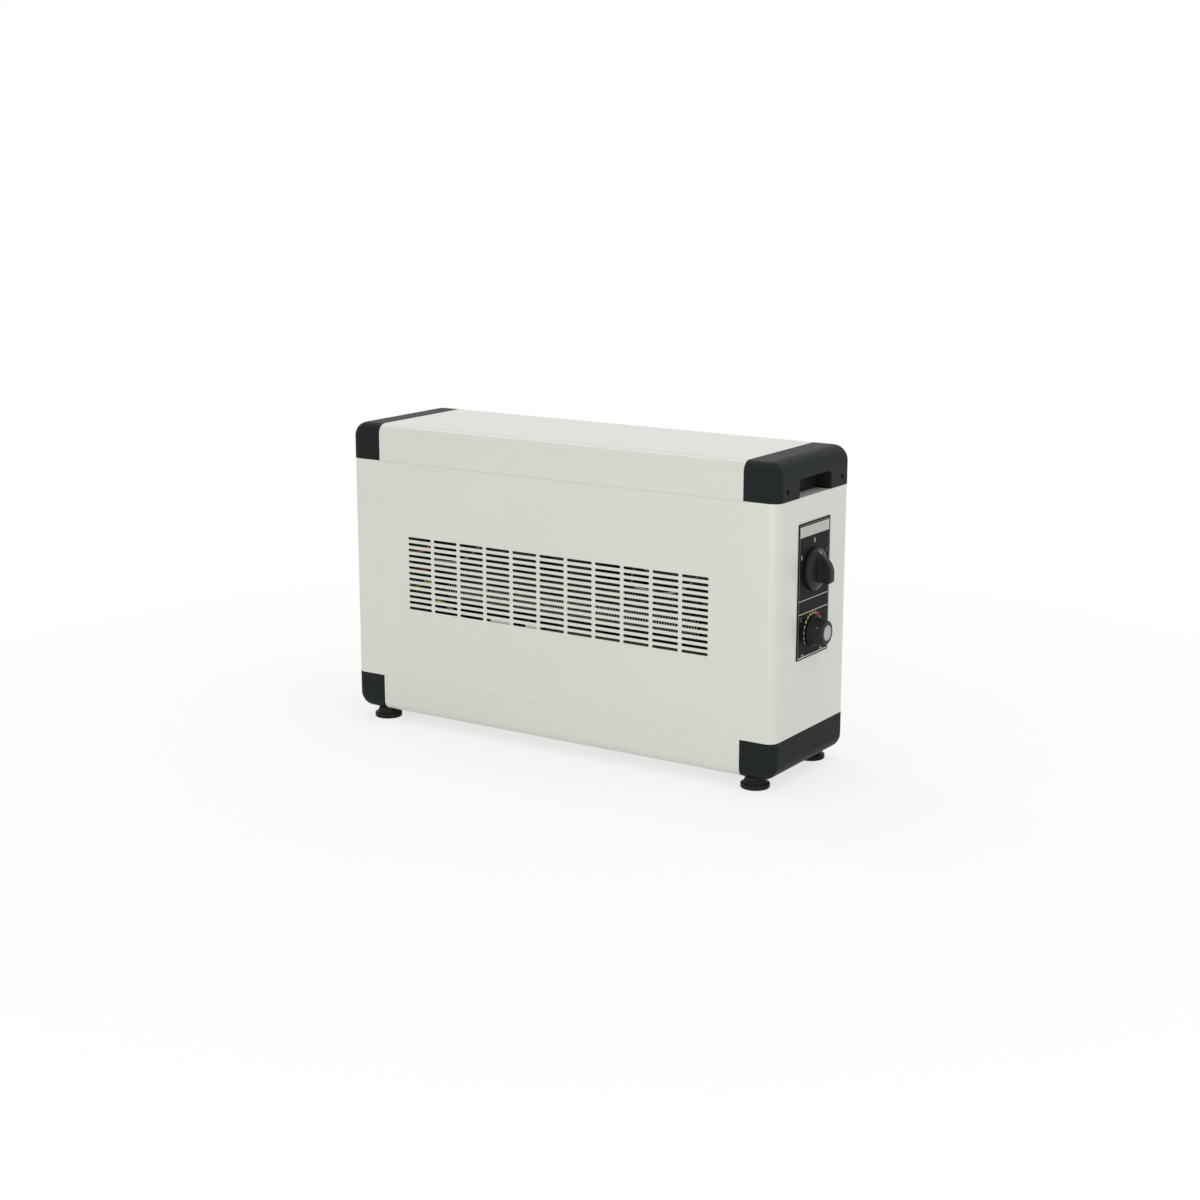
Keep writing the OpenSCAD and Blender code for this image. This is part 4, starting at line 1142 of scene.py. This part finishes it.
for name, run_z in zip(("lower_fins", "upper_fins"), run_heights):
    row_form = turned(fin_profile(), (fins_lo.x, fins_mid_y, run_z), steps=FIN_STEPS)
    row = link_piece(row_form, name, fin_steel, "casing")
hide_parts("element_fins")

# %% [markdown]
# The inner wires are silicone-sleeved: red and pink from the element's pins to the switch,
# yellow-green from the bracket to the terminal block, and grey ones to the switch and the
# cut-out. Each is a smooth curve with a round section, which is how a flexible wire lies.

# %% Wires
WIRE_RADIUS = 1.7 * MM
THIN_RADIUS = 1.4 * MM
EARTH_RADIUS = 2.2 * MM
SPIRAL_PITCH = 7 * MM


def sleeve(name, first, second):
    return finish(name, clouded(35.0, first, second), 0.45)


def earth_colour(shade):
    x, y, z = shade.axes(shade.place())
    spiral = ((x + y + z) * (1 / SPIRAL_PITCH)).fraction()
    return shade.mix(spiral > 0.5, linear(204, 206, 104), linear(126, 156, 84))


red_sleeve = sleeve("red_sleeve", (176, 72, 62), (150, 50, 44))
pink_sleeve = sleeve("pink_sleeve", (206, 150, 142), (186, 126, 118))
grey_sleeve = sleeve("grey_sleeve", (198, 199, 196), (180, 181, 178))
earth_sleeve = finish("earth_sleeve", earth_colour, 0.45)


def wire(name, points, radius, material):
    """A wire through points given in millimetres from the casing's middle, front and floor."""
    curve = bpy.data.curves.new(name, "CURVE")
    curve.dimensions = "3D"
    curve.bevel_depth = radius
    curve.bevel_resolution = 3
    curve.use_fill_caps = True
    curve.resolution_u = 8
    spline = curve.splines.new("BEZIER")
    spline.bezier_points.add(len(points) - 1)
    for knot, (x, y, z) in zip(spline.bezier_points, points):
        knot.co = (middle_x + x * MM, front_y + y * MM, z * MM)
        knot.handle_left_type = knot.handle_right_type = "AUTO"
    curve.materials.append(material)
    piece = linked(name, curve)
    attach(piece, "casing")


wire("wire_red",
     [(-253, 45, 197), (-260, 40, 196), (-248, 34, 194), (-228, 25, 193.5), (-214, 18, 196.5),
      (-202, 18, 199), (-192, 18, 203), (-190.6, 18, 213), (-191.6, 18, 223), (-197.5, 25, 230),
      (-194, 38, 250), (-180, 62, 286), (-150, 82, 314), (-100, 84, 322), (60, 84, 326),
      (200, 84, 322), (236, 86, 298), (252, 79, 270), (262, 75, 258)], WIRE_RADIUS, red_sleeve)
wire("wire_pink",
     [(-253, 45, 171), (-262, 46, 182), (-258, 38, 204), (-243, 28, 214), (-228, 21, 219.5),
      (-210, 18, 220.5), (-198, 17, 224.6), (-193.7, 18, 231.5), (-186, 31, 252),
      (-170, 66, 290), (-140, 84, 322), (60, 84, 333), (206, 84, 330), (240, 90, 304),
      (254, 89, 272), (262, 87, 258)], WIRE_RADIUS, pink_sleeve)
wire("wire_earth",
     [(-211.5, 85, 151), (-222, 66, 152), (-231, 42, 162), (-224, 25, 172), (-207, 19, 179.5),
      (-197, 18, 184.5), (-190.6, 18, 179), (-191.4, 19, 169), (-193, 20, 163.5),
      (-182.5, 21, 160), (-168, 23, 153), (-160, 38, 131), (-150, 72, 106), (-112, 84, 76),
      (60, 84, 62), (150, 100, 52), (172, 132, 48), (175, 140.5, 30)],
     EARTH_RADIUS, earth_sleeve)
wire("wire_grey",
     [(-204.5, 62, 216), (-200, 42, 214), (-190, 25, 210.5), (-174, 22.5, 210.5),
      (-158, 24, 211.5), (-146, 44, 222), (-138, 74, 250), (-116, 85, 292), (-60, 85, 314),
      (60, 85, 316), (150, 84, 304), (208, 84, 300), (234, 92, 284), (252, 98, 266),
      (262, 99, 258)], WIRE_RADIUS, grey_sleeve)
wire("wire_to_cutout",
     [(62, 85, 315.8), (76, 84, 290), (84, 60, 244), (96, 28, 214), (118, 22, 211.5),
      (148, 22, 211), (167, 34, 220), (179, 64, 250), (181, 73, 257)], THIN_RADIUS, grey_sleeve)
print("wires laid", 5)

# %% [markdown]
# A pale rail lies under the lower run of the tube and shows through the bottom row of slots.
# Two ceramic blocks stand at the left, close behind the front. Each is a box between two
# points with its edges rounded, on arms from the mid plate.

# %% Rail under the element
RAIL_EDGE = 0.8 * MM
# Blocks: a name, two corners in millimetres from the casing's middle, front and floor, a
# finish and a slot
INNER_BLOCKS = (
    ("left_ceramic", (-93, 4, 134), (-61.5, 10, 152.4), ceramic, "ceramic"),
    ("right_ceramic", (-41.5, 4, 134), (-20, 10, 152.4), ceramic, "ceramic"),
    ("element_rail", (-37, 36, 136), (205, 44, 139.5), rail_paint, "zinc"),
    ("left_ceramic_arm", (-84, 9, 134.5), (-76, 88, 137), zinc, "zinc"),
    ("right_ceramic_arm", (-38, 9, 133.7), (-30, 88, 136.2), zinc, "zinc"),
    ("right_rail_arm", (60, 40, 133), (68, 88, 136.2), zinc, "zinc"))
for name, lo, hi, material, slot_name in INNER_BLOCKS:
    corners = [(middle_x + x * MM, front_y + y * MM, z * MM) for x, y, z in (lo, hi)]
    rail = link_piece(block(*corners), name, material, "casing")
    round_edges(rail, RAIL_EDGE)
print("rail and blocks", len(INNER_BLOCKS))
